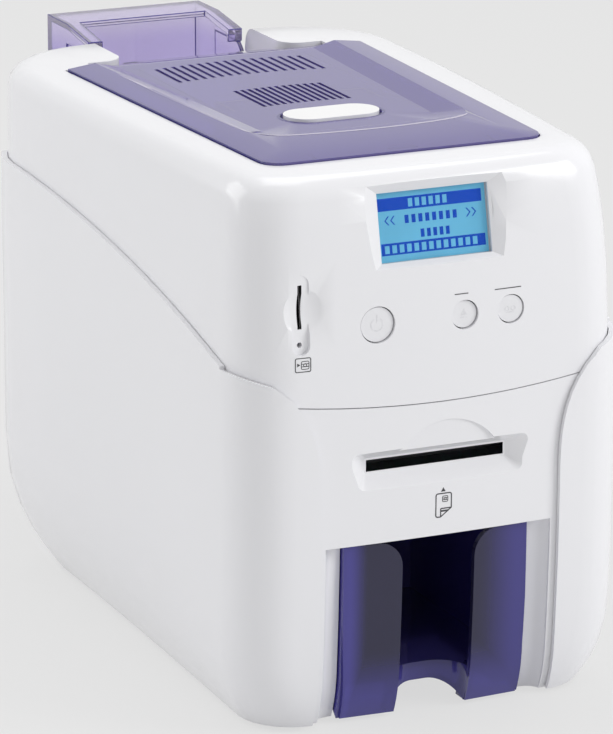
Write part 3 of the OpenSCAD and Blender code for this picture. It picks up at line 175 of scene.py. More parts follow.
class Value:
    """A shader socket that Python's operators combine through Math nodes."""

    def __init__(self, graph, socket):
        self.graph = graph
        self.socket = socket

    def maths(self, operation, *others):
        return self.graph.node("ShaderNodeMath", {"operation": operation}, (self, *others))

    def reflected(self, operation, other):
        return self.graph.node("ShaderNodeMath", {"operation": operation}, (other, self))

    def __add__(self, other):
        return self.maths("ADD", other)

    __radd__ = __add__

    def __sub__(self, other):
        return self.maths("SUBTRACT", other)

    def __rsub__(self, other):
        return self.reflected("SUBTRACT", other)

    def __mul__(self, other):
        return self.maths("MULTIPLY", other)

    __rmul__ = __mul__

    def __truediv__(self, other):
        return self.maths("DIVIDE", other)

    def __rtruediv__(self, other):
        return self.reflected("DIVIDE", other)

    def __lt__(self, other):
        return self.maths("LESS_THAN", other)

    def __gt__(self, other):
        return self.maths("GREATER_THAN", other)

    def __abs__(self):
        return self.maths("ABSOLUTE")

    def __mod__(self, other):
        return self.maths("FLOORED_MODULO", other)

    def sine(self):
        return self.maths("SINE")

    def ramp(self, start, stop):
        """0 before a place, 1 after another, and a soft rise between them."""
        return self.graph.node("ShaderNodeMapRange", {"interpolation_type": "SMOOTHSTEP"},
                               {"Value": self, "From Min": start, "From Max": stop})


class Graph:
    """A node tree, with an output that shows one shader."""

    def __init__(self, tree, output):
        self.tree = tree
        tree.nodes.clear()
        self.output = tree.nodes.new(output).inputs["Surface"]

    def node(self, kind, settings=None, values=(), out=0):
        """A node of a kind, its settings first, then the values or links of its sockets."""
        made = self.tree.nodes.new(kind)
        for name, value in (settings or {}).items():
            setattr(made, name, value)
        pairs = values.items() if isinstance(values, dict) else enumerate(values)
        for key, value in pairs:
            self.feed(made.inputs[key], value)
        return Value(self, made.outputs[out])

    def shown_to_the_eye(self, lit, seen):
        """Shows a plain glow to the camera, and in glass and gloss, and the lit shader to everything else."""
        path = self.tree.nodes.new("ShaderNodeLightPath")
        rays = [Value(self, path.outputs[f"Is {kind} Ray"]) for kind in ("Camera", "Glossy", "Transmission")]
        eye = rays[0].maths("MAXIMUM", rays[1]).maths("MAXIMUM", rays[2])
        share = eye * seen[1]
        glow = self.node("ShaderNodeEmission", None, {"Color": seen[0], "Strength": 1.0})
        self.feed(self.output, self.node("ShaderNodeMixShader", None, (share, lit, glow)))

    def feed(self, socket, value):
        if isinstance(value, Value):
            self.tree.links.new(value.socket, socket)
        elif hasattr(value, "__len__") and socket.type == "RGBA":
            socket.default_value = (*value[:3], 1)
        else:
            socket.default_value = value


class Finish(Graph):
    """A material with one Principled shader, filled in by name."""

    def __init__(self, name):
        self.material = bpy.data.materials.new(name)
        self.material.use_nodes = True
        super().__init__(self.material.node_tree, "ShaderNodeOutputMaterial")
        self.shader = self.tree.nodes.new("ShaderNodeBsdfPrincipled")
        self.tree.links.new(self.shader.outputs[0], self.output)
        self.place = self.node("ShaderNodeTexCoord", out="Object")

    def set(self, **values):
        """Values or links of the shader's own sockets, with underscores for the spaces in their names."""
        for name, value in values.items():
            self.feed(self.shader.inputs[name.replace("_", " ")], value)
        return self

    def stretched(self, scale):
        """Object coordinates with a scale along each axis."""
        return self.node("ShaderNodeMapping", None, {"Vector": self.place, "Scale": scale})

    def noise(self, scale, detail, stretch=None):
        where = self.stretched(stretch) if stretch else self.place
        return self.node("ShaderNodeTexNoise", None, {"Vector": where, "Scale": scale, "Detail": detail})

    def cells(self, scale, out):
        return self.node("ShaderNodeTexVoronoi", None, {"Vector": self.place, "Scale": scale}, out)

    def axis(self, name):
        return self.node("ShaderNodeSeparateXYZ", None, (self.place,), "XYZ".index(name))

    def mix(self, share, first, second):
        """A colour between two, by a share from 0 to 1."""
        made = self.tree.nodes.new("ShaderNodeMix")
        made.data_type = "RGBA"
        for name, value in (("Factor_Float", share), ("A_Color", first), ("B_Color", second)):
            self.feed(next(s for s in made.inputs if s.identifier == name), value)
        return Value(self, next(s for s in made.outputs if s.identifier == "Result_Color"))

    def bump(self, height, distance):
        return self.node("ShaderNodeBump", None, {"Height": height, "Distance": distance})


def tinted(rgb, factor):
    """A colour made darker or lighter."""
    return tuple(min(1.0, part * factor) for part in rgb)


# ---- Finishes ---------------------------------------------------------------


def moulded(name, rgb, roughness, coat=0.0, grain=0.00001):
    """Injection-moulded plastic: faint flow marks, uneven gloss and a fine skin."""
    made = Finish(name)
    flow = made.noise(9, 2, (1, 1, 0.4))
    skin = made.noise(2600, 2)
    made.set(Base_Color=made.mix(flow, tinted(rgb, 0.985), tinted(rgb, 1.01)),
             Roughness=roughness + (made.noise(40, 4) - 0.5) * 0.06,
             Normal=made.bump(skin, grain), IOR=1.5, Coat_Weight=coat, Coat_Roughness=0.12)
    return made.material


def see_through(name, rgb, transmission, roughness, second=None, where=None):
    """Tinted clear plastic, slightly cloudy, with a second tint where a mask says, which paints light shining
    through the part.
    """
    made = Finish(name)
    tint = made.mix(made.noise(30, 3), tinted(rgb, 0.95), tinted(rgb, 1.05))
    if where:
        tint = made.mix(where(made), tint, second)
    made.set(Base_Color=tint, Roughness=roughness + (made.noise(60, 3) - 0.5) * 0.02,
             Normal=made.bump(made.noise(500, 1), 0.000004),
             Transmission_Weight=transmission, IOR=1.49, Coat_Weight=0.15, Coat_Roughness=0.03)
    return made.material


def lid_rear_painted_light(made):
    """The rear strip of the lid, behind its air slots, where a paler tint is painted as light shining through
    it.
    """
    return made.axis("Y").ramp(0.056, 0.07)


def hopper_box_painted_light(made):
    """The box at the rear of the input hopper, which stands free of the housing, where a paler tint is
    painted as light shining through it.
    """
    return made.axis("Z").ramp(0.2, 0.214)


def tray_sides_painted_light(made):
    """The outer strips and the foot of the output hopper, where a lighter, bluer tint is painted as light
    shining through them.
    """
    left = (-1 * made.axis("X")).ramp(0.028, 0.036)
    right = made.axis("X").ramp(0.016, 0.036) * 0.8
    foot = 1 - made.axis("Z").ramp(0.008, 0.03)
    return left.maths("MAXIMUM", right).maths("MAXIMUM", foot * 0.8)


def sheet_steel(name, rgb):
    """Zinc-plated steel with rolling marks and faint spangle."""
    made = Finish(name)
    rolled = made.noise(60, 5, (1, 14, 0.6))
    spangle = made.cells(160, "Color")
    made.set(Base_Color=made.mix(rolled, tinted(rgb, 0.86), made.mix(0.08, tinted(rgb, 1.1), spangle)),
             Metallic=1.0, Roughness=0.3 + rolled * 0.16, Normal=made.bump(rolled, 0.00001))
    return made.material


def turned(name, rgb, roughness=0.2):
    """Metal turned or ground on a lathe, with rings round the X axis."""
    made = Finish(name)
    pitch = 0.00035
    rings = (made.axis("X") * (2 * math.pi / pitch) + made.noise(300, 2) * 3).sine() * 0.5 + 0.5
    made.set(Base_Color=made.mix(made.noise(200, 3), tinted(rgb, 0.9), tinted(rgb, 1.08)),
             Metallic=1.0, Roughness=roughness + rings * 0.08, Normal=made.bump(rings, 0.000006))
    return made.material


def sintered(name, rgb):
    """Oil-soaked sintered bronze with open pores."""
    made = Finish(name)
    pores = made.cells(2200, "Distance")
    made.set(Base_Color=made.mix(pores, tinted(rgb, 0.55), rgb), Metallic=1.0,
             Roughness=0.62 - pores * 0.25, Normal=made.bump(pores, 0.00004))
    return made.material


def ground_rubber(name, rgb, roughness=0.62):
    """Rubber ground to size: fine rings and dusty patches."""
    made = Finish(name)
    dust = made.noise(120, 5)
    radians_per_metre = 9000
    rings = (made.axis("X") * radians_per_metre + made.noise(400, 2) * 4).sine() * 0.5 + 0.5
    made.set(Base_Color=made.mix(dust, rgb, tinted(rgb, 2.4)), Roughness=roughness + dust * 0.2,
             Normal=made.bump(rings * 0.5 + dust, 0.00002))
    return made.material


def circuit(name, rgb):
    """Circuit board: solder resist over a net of tracks, with plated pads."""
    made = Finish(name)
    tracks_per_metre = 420
    half_track = 0.16
    plated = (0.72, 0.68, 0.55)
    across = abs((made.axis("X") * tracks_per_metre) % 1.0 - 0.5) < half_track
    along = abs(((made.axis("Y") + made.axis("Z")) * tracks_per_metre) % 1.0 - 0.5) < half_track
    patch = made.noise(90, 1) > 0.5
    track = across * patch + along * (1 - patch)
    pad = made.cells(260, "Distance") < 0.16
    green = made.mix(track, rgb, tinted(rgb, 1.9))
    made.set(Base_Color=made.mix(pad, green, plated), Metallic=pad * 0.9,
             Roughness=0.34 - track * 0.06, Normal=made.bump(track + pad, 0.00003))
    return made.material


def dye_film(name, rgb):
    """Ribbon wound in layers: glossy dark film with fine edges."""
    made = Finish(name)
    layers = made.noise(700, 2, (0.02, 1, 1))
    made.set(Base_Color=made.mix(layers, rgb, tinted(rgb, 2.2)), Roughness=0.12 + layers * 0.12,
             Normal=made.bump(layers, 0.00001), Coat_Weight=0.5)
    return made.material


def dye_panels(name, dyes, panel):
    """Flat run of the ribbon: panels of dye one after another, a thin clear strip between them."""
    made = Finish(name)
    clear = (0.6, 0.6, 0.6)
    clear_from = 0.48
    run = made.axis("Y") / panel
    step = run % len(dyes)
    shown = dyes[0]
    for place, dye in enumerate(dyes[1:], 1):
        shown = made.mix(step > place, shown, dye)
    shown = made.mix(abs(run % 1.0 - 0.5) > clear_from, shown, clear)
    made.set(Base_Color=shown, Roughness=0.14 + made.noise(300, 2) * 0.1, Coat_Weight=0.5)
    return made.material


def display_face(name, box, light, dark):
    """Backlit dot display with plain bars, blocks and arrows, placed in shares of half the window."""
    low, high = box
    made = Finish(name)
    arrow_height = 0.16
    dots_per_metre = 2900
    half_width = (high.x - low.x) / 2
    half_height = (high.z - low.z) / 2
    across = (made.axis("X") - (low.x + high.x) / 2) / half_width
    up = (made.axis("Z") - (low.z + high.z) / 2) / half_height

    def block(left, right, bottom, top):
        middle_x, middle_z = (left + right) / 2, (bottom + top) / 2
        return (abs(across - middle_x) < (right - left) / 2) * (abs(up - middle_z) < (top - bottom) / 2)

    def chevron(tip, point_left):
        reach = abs(up - arrow_height) * (0.5 if point_left else -0.5)
        return (abs(across - tip - reach) < 0.013) * (abs(up - arrow_height) < 0.12)

    def blocks(left, pitch, count, width, bottom, top):
        found = block(left, left + width, bottom, top)
        for step in range(1, count):
            found = found + block(left + step * pitch, left + step * pitch + width, bottom, top)
        return found

    head = block(-0.92, 0.9, 0.42, 0.76) * (1 - blocks(-0.38, 0.12, 6, 0.075, 0.48, 0.7))
    middle = blocks(-0.46, 0.12, 8, 0.07, 0.05, 0.27)
    state = blocks(-0.2, 0.11, 5, 0.065, -0.36, -0.14)
    foot = block(-0.9, 0.92, -0.76, -0.44) * (1 - blocks(-0.84, 0.128, 13, 0.08, -0.71, -0.5))
    arrows = chevron(-0.8, True) + chevron(-0.7, True) + chevron(0.78, False) + chevron(0.68, False)
    column, row = (abs((made.axis(letter) * dots_per_metre) % 1.0 - 0.5) for letter in "XZ")
    gaps = column + row > 0.82
    shown = (head + middle + state + foot + arrows).maths("MINIMUM", 1.0) * (1 - gaps * 0.35)
    glow = made.mix(made.noise(60, 2), tinted(light, 0.93), tinted(light, 1.08))
    picture = made.mix(shown, glow, dark)
    made.set(Base_Color=picture, Emission_Color=picture, Emission_Strength=0.35, Roughness=0.5,
             Specular_IOR_Level=0.1)
    return made.material


def plain_glass(name, rgb):
    """Clear hard-coated window."""
    made = Finish(name)
    made.set(Base_Color=rgb, Transmission_Weight=1.0, IOR=1.12,
             Roughness=0.02 + made.noise(80, 3) * 0.02)
    return made.material


def printed_ink(name, rgb):
    """Printed ink, slightly uneven."""
    made = Finish(name)
    made.set(Base_Color=made.mix(made.noise(900, 2), rgb, tinted(rgb, 1.6)), Roughness=0.55)
    return made.material


# ---- Pieces -----------------------------------------------------------------


def finish_nodes(names, material):
    """Gives CAD nodes a material."""
    for name in names:
        mesh = NODES[name].data
        mesh.materials.clear()
        mesh.materials.append(material)


def shaded(shape, limit):
    """Smooth faces, with a hard edge where two of them meet at more than an angle."""
    for face in shape.faces:
        face.smooth = True
    for line in shape.edges:
        line.smooth = len(line.link_faces) == 2 and line.calc_face_angle() < limit


def surfaced(name, material, edge, limit=math.radians(32), painted_shade=None, walls=None, on_edges=True):
    """A node's own shape with merged corners, smooth shading and small rounded edges.

    The `painted_shade` material goes on the faces that `walls` picks, and on the rounded edges too if
    `on_edges`; it is a darker material painted as shade."""
    mesh = NODES[name].data.copy()
    mesh.materials.clear()
    mesh.materials.append(material)
    if painted_shade:
        mesh.materials.append(painted_shade)
    shape = bmesh.new()
    shape.from_mesh(mesh)
    bmesh.ops.remove_doubles(shape, verts=shape.verts, dist=0.000004)
    bmesh.ops.dissolve_limit(shape, angle_limit=math.radians(0.4), verts=shape.verts, edges=shape.edges)
    bmesh.ops.triangulate(shape, faces=[f for f in shape.faces if len(f.verts) > 4])
    shaded(shape, limit)
    for face in shape.faces:
        face.material_index = 1 if walls and walls(face) else 0
    shape.to_mesh(mesh)
    shape.free()
    piece = bpy.data.objects.new(name + "_moulding", mesh)
    bpy.context.scene.collection.objects.link(piece)
    rounding = piece.modifiers.new("Edge", "BEVEL")
    rounding.width = edge
    rounding.segments = 2
    rounding.limit_method = "ANGLE"
    rounding.angle_limit = limit
    rounding.harden_normals = True
    rounding.material = 1 if painted_shade and on_edges else -1
    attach(piece, BODY_OF[name])
    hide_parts(name)
    return piece


def kept(shape, name, body, material):
    """Turns a bmesh into a piece that rides on a body."""
    bmesh.ops.recalc_face_normals(shape, faces=shape.faces)
    mesh = bpy.data.meshes.new(name)
    shaded(shape, math.radians(35))
    shape.to_mesh(mesh)
    shape.free()
    mesh.materials.append(material)
    piece = bpy.data.objects.new(name, mesh)
    bpy.context.scene.collection.objects.link(piece)
    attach(piece, body)
    return piece


def surface_of(*names):
    """A ray target made of CAD nodes."""
    shape = bmesh.new()
    for name in names:
        shape.from_mesh(NODES[name].data)
    tree = BVHTree.FromBMesh(shape)
    shape.free()
    return tree


def dropped(shape, target, lift):
    """Lays a flat shape, drawn in X and Y above a surface, down on it."""
    for corner in shape.verts:
        hit = target.ray_cast(corner.co, Vector((0, 0, -1)))[0]
        corner.co = hit + Vector((0, 0, lift))


def oval_ring(shape, place, half_length, radius, width):
    """A flat band round a slot with round ends, in X and Y, thin along the slot and full at its ends."""
    steps = 16
    inner = []
    outer = []
    for end, start in ((1, -90), (-1, 90)):
        for step in range(steps + 1):
            turn = math.radians(start + 180 * step / steps)
            ray = Vector((math.cos(turn), math.sin(turn), 0))
            middle = place + Vector((end * half_length, 0, 0))
            inner.append(shape.verts.new(middle + ray * radius))
            outer.append(shape.verts.new(middle + ray * (radius + width * (0.15 + 0.85 * ray.x ** 2))))
    for one in range(len(inner)):
        after = (one + 1) % len(inner)
        shape.faces.new((inner[one], inner[after], outer[after], outer[one]))


def bead(shape, start, runs, width):
    """A flat band in X and Y along Bezier runs, each given by two handles and an end, with pointed ends."""
    steps = 24
    path = [start]
    for first, second, end in runs:
        path += interpolate_bezier(path[-1], first, second, end, steps)[1:]
    sides = []
    for place, step in enumerate(path):
        ahead = path[min(place + 1, len(path) - 1)] - path[max(place - 1, 0)]
        across = Vector((-ahead.y, ahead.x, 0)).normalized()
        half = width / 2 * min(1, 0.1 + 0.12 * min(place, len(path) - 1 - place))
        sides.append((shape.verts.new(step - across * half), shape.verts.new(step + across * half)))
    for near, far in zip(sides, sides[1:]):
        shape.faces.new((near[0], far[0], far[1], near[1]))


def laid_on(shape, target, lift):
    """Drops flat marks, drawn in X and Z, onto the front of a surface and gives them a thickness."""
    front = Vector(cad_box[0]).y - RAY_START
    for corner in shape.verts:
        hit = target.ray_cast(Vector((corner.co.x, front, corner.co.z)), Vector((0, 1, 0)))[0]
        corner.co = hit + Vector((0, -lift * 0.2, 0))
    top = bmesh.ops.extrude_face_region(shape, geom=shape.faces[:])
    raised = [part for part in top["geom"] if isinstance(part, bmesh.types.BMVert)]
    bmesh.ops.translate(shape, verts=raised, vec=(0, -lift, 0))


def upright(place):
    """Turns what is drawn in X and Y to X and Z, at a place."""
    return Matrix.Translation(place) @ Matrix.Rotation(math.radians(90), 4, "X")


def bar(shape, place, width, height, cuts=0):
    """A flat rectangle in X and Z."""
    bmesh.ops.create_grid(shape, x_segments=cuts + 1, y_segments=1, size=0.5,
                          matrix=upright(place) @ Matrix.Diagonal((width, height, 1, 1)))


def ring(shape, place, radius, stroke, start=0.0, stop=360.0, segments=32):
    """A flat ring or arc in X and Z."""
    first = shape.verts.new(place + Vector((radius - stroke / 2, 0, 0)))
    second = shape.verts.new(place + Vector((radius + stroke / 2, 0, 0)))
    line = shape.edges.new((first, second))
    bmesh.ops.rotate(shape, verts=[first, second], cent=place,
                     matrix=Matrix.Rotation(math.radians(-start), 3, "Y"))
    bmesh.ops.spin(shape, geom=[first, second, line], cent=place, axis=(0, -1, 0), steps=segments,
                   angle=math.radians(stop - start), use_merge=stop - start >= 360)


def stroke_line(shape, start, end, stroke):
    """A straight stroke between two places, in X and Z."""
    run = end - start
    place = upright((start + end) / 2) @ Matrix.Rotation(math.atan2(run.z, run.x), 4, "Z")
    bmesh.ops.create_grid(shape, x_segments=1, y_segments=1, size=0.5,
                          matrix=place @ Matrix.Diagonal((run.length, stroke, 1, 1)))


def triangle(shape, place, radius, turn):
    """A flat triangle in X and Z whose tip points along an angle."""
    bmesh.ops.create_circle(shape, cap_ends=True, segments=3, radius=radius,
                            matrix=upright(place) @ Matrix.Rotation(math.radians(turn - 90), 4, "Z"))


def card_outline(shape, place, width, height, radius, stroke):
    """The outline of a card with rounded corners, in X and Z."""
    inner_w, inner_h = width / 2 - radius, height / 2 - radius
    for right, up, start in ((1, 1, 0), (-1, 1, 90), (-1, -1, 180), (1, -1, 270)):
        ring(shape, place + Vector((right * inner_w, 0, up * inner_h)), radius, stroke, start, start + 90, 6)
    for side in (1, -1):
        bar(shape, place + Vector((side * width / 2, 0, 0)), stroke, 2 * inner_h)
        bar(shape, place + Vector((0, 0, side * height / 2)), 2 * inner_w, stroke)


def screw(shape, place, radius):
    """A button-head screw with a hexagon socket, its head along +Z of a place."""
    known = set(shape.verts)
    head = bmesh.ops.create_circle(shape, segments=20, radius=radius * 0.75)["verts"]
    socket = bmesh.ops.create_circle(shape, segments=6, radius=radius * 0.45)["verts"]
    head_line, socket_line = ([line for line in shape.edges if set(line.verts) <= set(loop)]
                              for loop in (head, socket))
    bmesh.ops.bridge_loops(shape, edges=head_line + socket_line)
    for grow, drop in ((1.2, 0.12), (1.11, 0.28), (1.0, 0.35)):
        grown = bmesh.ops.extrude_edge_only(shape, edges=head_line)["geom"]
        corners = [part for part in grown if isinstance(part, bmesh.types.BMVert)]
        bmesh.ops.scale(shape, verts=corners, vec=(grow, grow, 1))
        bmesh.ops.translate(shape, verts=corners, vec=(0, 0, -drop * radius))
        head_line = [part for part in grown if isinstance(part, bmesh.types.BMEdge)
                     and set(part.verts) <= set(corners)]
    sunk = bmesh.ops.extrude_edge_only(shape, edges=socket_line)["geom"]
    corners = [part for part in sunk if isinstance(part, bmesh.types.BMVert)]
    bmesh.ops.translate(shape, verts=corners, vec=(0, 0, -0.6 * radius))
    floor_line = [part for part in sunk if isinstance(part, bmesh.types.BMEdge)
                  and set(part.verts) <= set(corners)]
    bmesh.ops.edgeloop_fill(shape, edges=floor_line)
    made = [corner for corner in shape.verts if corner not in known]
    bmesh.ops.transform(shape, matrix=place @ Matrix.Translation((0, 0, 0.6 * radius)), verts=made)


def blade(shape, low, high, edge):
    """A flat contact with rounded edges between two corners."""
    made = bmesh.ops.create_cube(shape, size=1, matrix=Matrix.Translation((low + high) / 2)
                                 @ Matrix.Diagonal((*(high - low), 1)))["verts"]
    lines = list({line for corner in made for line in corner.link_edges})
    bmesh.ops.bevel(shape, geom=lines, offset=edge, offset_type="OFFSET", affect="EDGES", segments=2,
                    profile=0.5, material=-1)


# ---- Operators --------------------------------------------------------------


class PRINTER_OT_stage(bpy.types.Operator):
    """Makes the floor, the lights and the camera"""

    bl_idname = "printer.stage"
    bl_label = "Stage"

    def execute(self, context):
        scene = context.scene
        studio = scene.printer_studio
        scene.view_settings.view_transform = "Standard"
        self.lay_floor(scene, studio)
        self.light_world(scene, studio)
        self.hang_lamps(scene)
        self.set_camera(scene, studio)
        return {"FINISHED"}

    def lay_floor(self, scene, studio):
        shape = bmesh.new()
        bmesh.ops.create_grid(shape, x_segments=2, y_segments=2, size=9)
        mesh = bpy.data.meshes.new("floor")
        shape.to_mesh(mesh)
        shape.free()
        floor = bpy.data.objects.new("floor", mesh)
        scene.collection.objects.link(floor)
        paint = Finish("studio_floor")
        paint.set(Base_Color=studio.floor, Roughness=0.9, Specular_IOR_Level=0.1)
        paint.shown_to_the_eye(Value(paint, paint.shader.outputs[0]), (studio.backdrop, 1 - studio.shadow))
        mesh.materials.append(paint.material)

    def light_world(self, scene, studio):
        world = bpy.data.worlds.new("studio")
        scene.world = world
        world.use_nodes = True
        sky = Graph(world.node_tree, "ShaderNodeOutputWorld")
        light = sky.node("ShaderNodeBackground", None, {"Color": (1, 1, 1), "Strength": studio.world})
        sky.shown_to_the_eye(light, (studio.backdrop, 1))

    def hang_lamps(self, scene):
        aim = Vector((0, 0, 0.12))
        lamps = (("key", (1.9, -1.7, 1.6), 1.4, 36), ("side", (-1.9, 1.2, 1.3), 1.6, 18),
                 ("top", (0.3, 0.4, 2.5), 1.6, 17))
        for name, place, size, power in lamps:
            lamp = bpy.data.lights.new(name, "AREA")
            lamp.shape = "SQUARE"
            lamp.size = size
            lamp.energy = power
            hung = bpy.data.objects.new(name, lamp)
            hung.location = place
            hung.rotation_euler = (aim - hung.location).to_track_quat("-Z", "Y").to_euler()
            scene.collection.objects.link(hung)

    def set_camera(self, scene, studio):
        data = bpy.data.cameras.new("camera")
        data.lens = studio.lens
        data.sensor_width = 36
        data.clip_end = 30
        camera = bpy.data.objects.new("camera", data)
        back = Vector((-math.sin(studio.azimuth) * math.cos(studio.elevation),
                       -math.cos(studio.azimuth) * math.cos(studio.elevation), math.sin(studio.elevation)))
        camera.location = Vector(studio.aim) + back * studio.distance
        camera.rotation_euler = (math.pi / 2 - studio.elevation, 0, -studio.azimuth)
        scene.collection.objects.link(camera)
        scene.camera = camera


class PRINTER_OT_covers(bpy.types.Operator):
    """Finishes the white covers and the base"""

    bl_idname = "printer.covers"
    bl_label = "Covers"

    def execute(self, context):
        colours, sizes = context.scene.printer_colours, context.scene.printer_sizes
        white = moulded("cover_white", colours.cover, 0.18, coat=0.2)
        # Painted shade: the walls of the chip card slot are painted dark for the shade inside it.
        slot_shade = moulded("slot_painted_shade", colours.dark, 0.5)
        slot = Vector((-0.0565, 0, 0.167))
        half_width, half_height = 0.0012, 0.0088

        def slot_walls(face):
            """The walls of the chip card slot, painted dark as the shade inside it."""
            middle = face.calc_center_median()
            return (abs(middle.x - slot.x) < half_width and abs(middle.z - slot.z) < half_height
                    and abs(face.normal.y) < 0.3)

        surfaced("upper_cover", white, sizes.edge, painted_shade=slot_shade, walls=slot_walls, on_edges=False)
        for name in ("front_panel", "rear_panel", "left_side_cover", "right_side_cover"):
            surfaced(name, white, sizes.edge)
        finish_nodes(["base_tray"], moulded("base_grey", colours.base, 0.5, grain=0.00004))
        finish_nodes(["rubber_feet"], ground_rubber("foot_rubber", colours.rubber))
        return {"FINISHED"}


class PRINTER_OT_clear_parts(bpy.types.Operator):
    """Finishes the see-through lid and both hoppers"""

    bl_idname = "printer.clear_parts"
    bl_label = "Lid and hoppers"

    def execute(self, context):
        colours, sizes = context.scene.printer_colours, context.scene.printer_sizes
        # Darker tints painted as shade on the rounded edges of the clear parts and on the lid's steep walls.
        painted_shade = see_through("violet_painted_shade", colours.painted_shade, 0.3, 0.08)
        lid = see_through("lid_clear", colours.lid, 0.45, 0.06, colours.lid_painted_light, lid_rear_painted_light)
        hopper = see_through("hopper_clear", colours.hopper, 0.85, 0.05, colours.hopper_painted_light, hopper_box_painted_light)
        smoked = see_through("smoked_clear", colours.tray, 0.35, 0.1, colours.tray_painted_light, tray_sides_painted_light)
        smoked_painted_shade = see_through("smoked_painted_shade", colours.tray_painted_shade, 0.2, 0.1)
        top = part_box("top_lid")[1].z
        wall_depth, wall_place = 0.006, 0.056

        def side_walls(face):
            """The steep faces along both sides of the lid's top, painted darker as shade."""
            middle = face.calc_center_median()
            steep = abs(face.normal.z) < 0.4
            return steep and top - middle.z < wall_depth and abs(middle.x) > wall_place

        surfaced("top_lid", lid, sizes.edge * 0.6, limit=math.radians(12), painted_shade=painted_shade, walls=side_walls)
        surfaced("input_hopper", hopper, sizes.edge, painted_shade=painted_shade)
        surfaced("output_hopper", smoked, sizes.edge, painted_shade=smoked_painted_shade)
        surfaced("lid_button", moulded("lid_button_white", colours.button, 0.22, coat=0.3), sizes.edge)
        self.paint_button_hole_shade(painted_shade, sizes)
        # A pale strip painted as the highlight on the tray's fillet.
        self.paint_tray_highlight(see_through("painted_highlight_clear", colours.bead, 0.2, 0.12), sizes)
        return {"FINISHED"}

    def paint_tray_highlight(self, highlight_tint, sizes):
        """A painted highlight: a pale strip laid along the top of the lid's tray, where its fillet catches
        the light.
        """
        low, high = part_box("top_lid")

        def at(x, back):
            """A place by millimetres to the right and behind the lid's front."""
            return Vector((x / 1000, low.y + back / 1000, high.z + DRAWN_ABOVE))

        shape = bmesh.new()
        bead(shape, at(-52.4, 158), ((at(-50.3, 124), at(-48.4, 90), at(-46.4, 56)),
                                     (at(-45.6, 42), at(-40, 35), at(-30, 33.5)),
                                     (at(-10, 30.5), at(12, 30.2), at(30, 33.5)),
                                     (at(36, 34.5), at(41, 36.5), at(44.5, 40))), sizes.bead)
        dropped(shape, surface_of("top_lid"), sizes.ink_lift)
        kept(shape, "tray_painted_highlight", "lid", highlight_tint)

    def paint_button_hole_shade(self, painted_shade, sizes):
        """A painted shade: a dark band laid on the lid round the button, where the hole's wall is in shade.
        """
        low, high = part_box("lid_button")
        radius = (high.y - low.y) / 2
        # The button's flange reaches this far under the lid, past the hole's edge.
        flange = 0.00075
        band = 0.0012
        middle = Vector(((low.x + high.x) / 2, (low.y + high.y) / 2, high.z + DRAWN_ABOVE))
        shape = bmesh.new()
        oval_ring(shape, middle, (high.x - low.x) / 2 - radius, radius - flange, band)
        dropped(shape, surface_of("top_lid"), sizes.ink_lift)
        kept(shape, "button_hole_painted_shade", "lid", painted_shade)


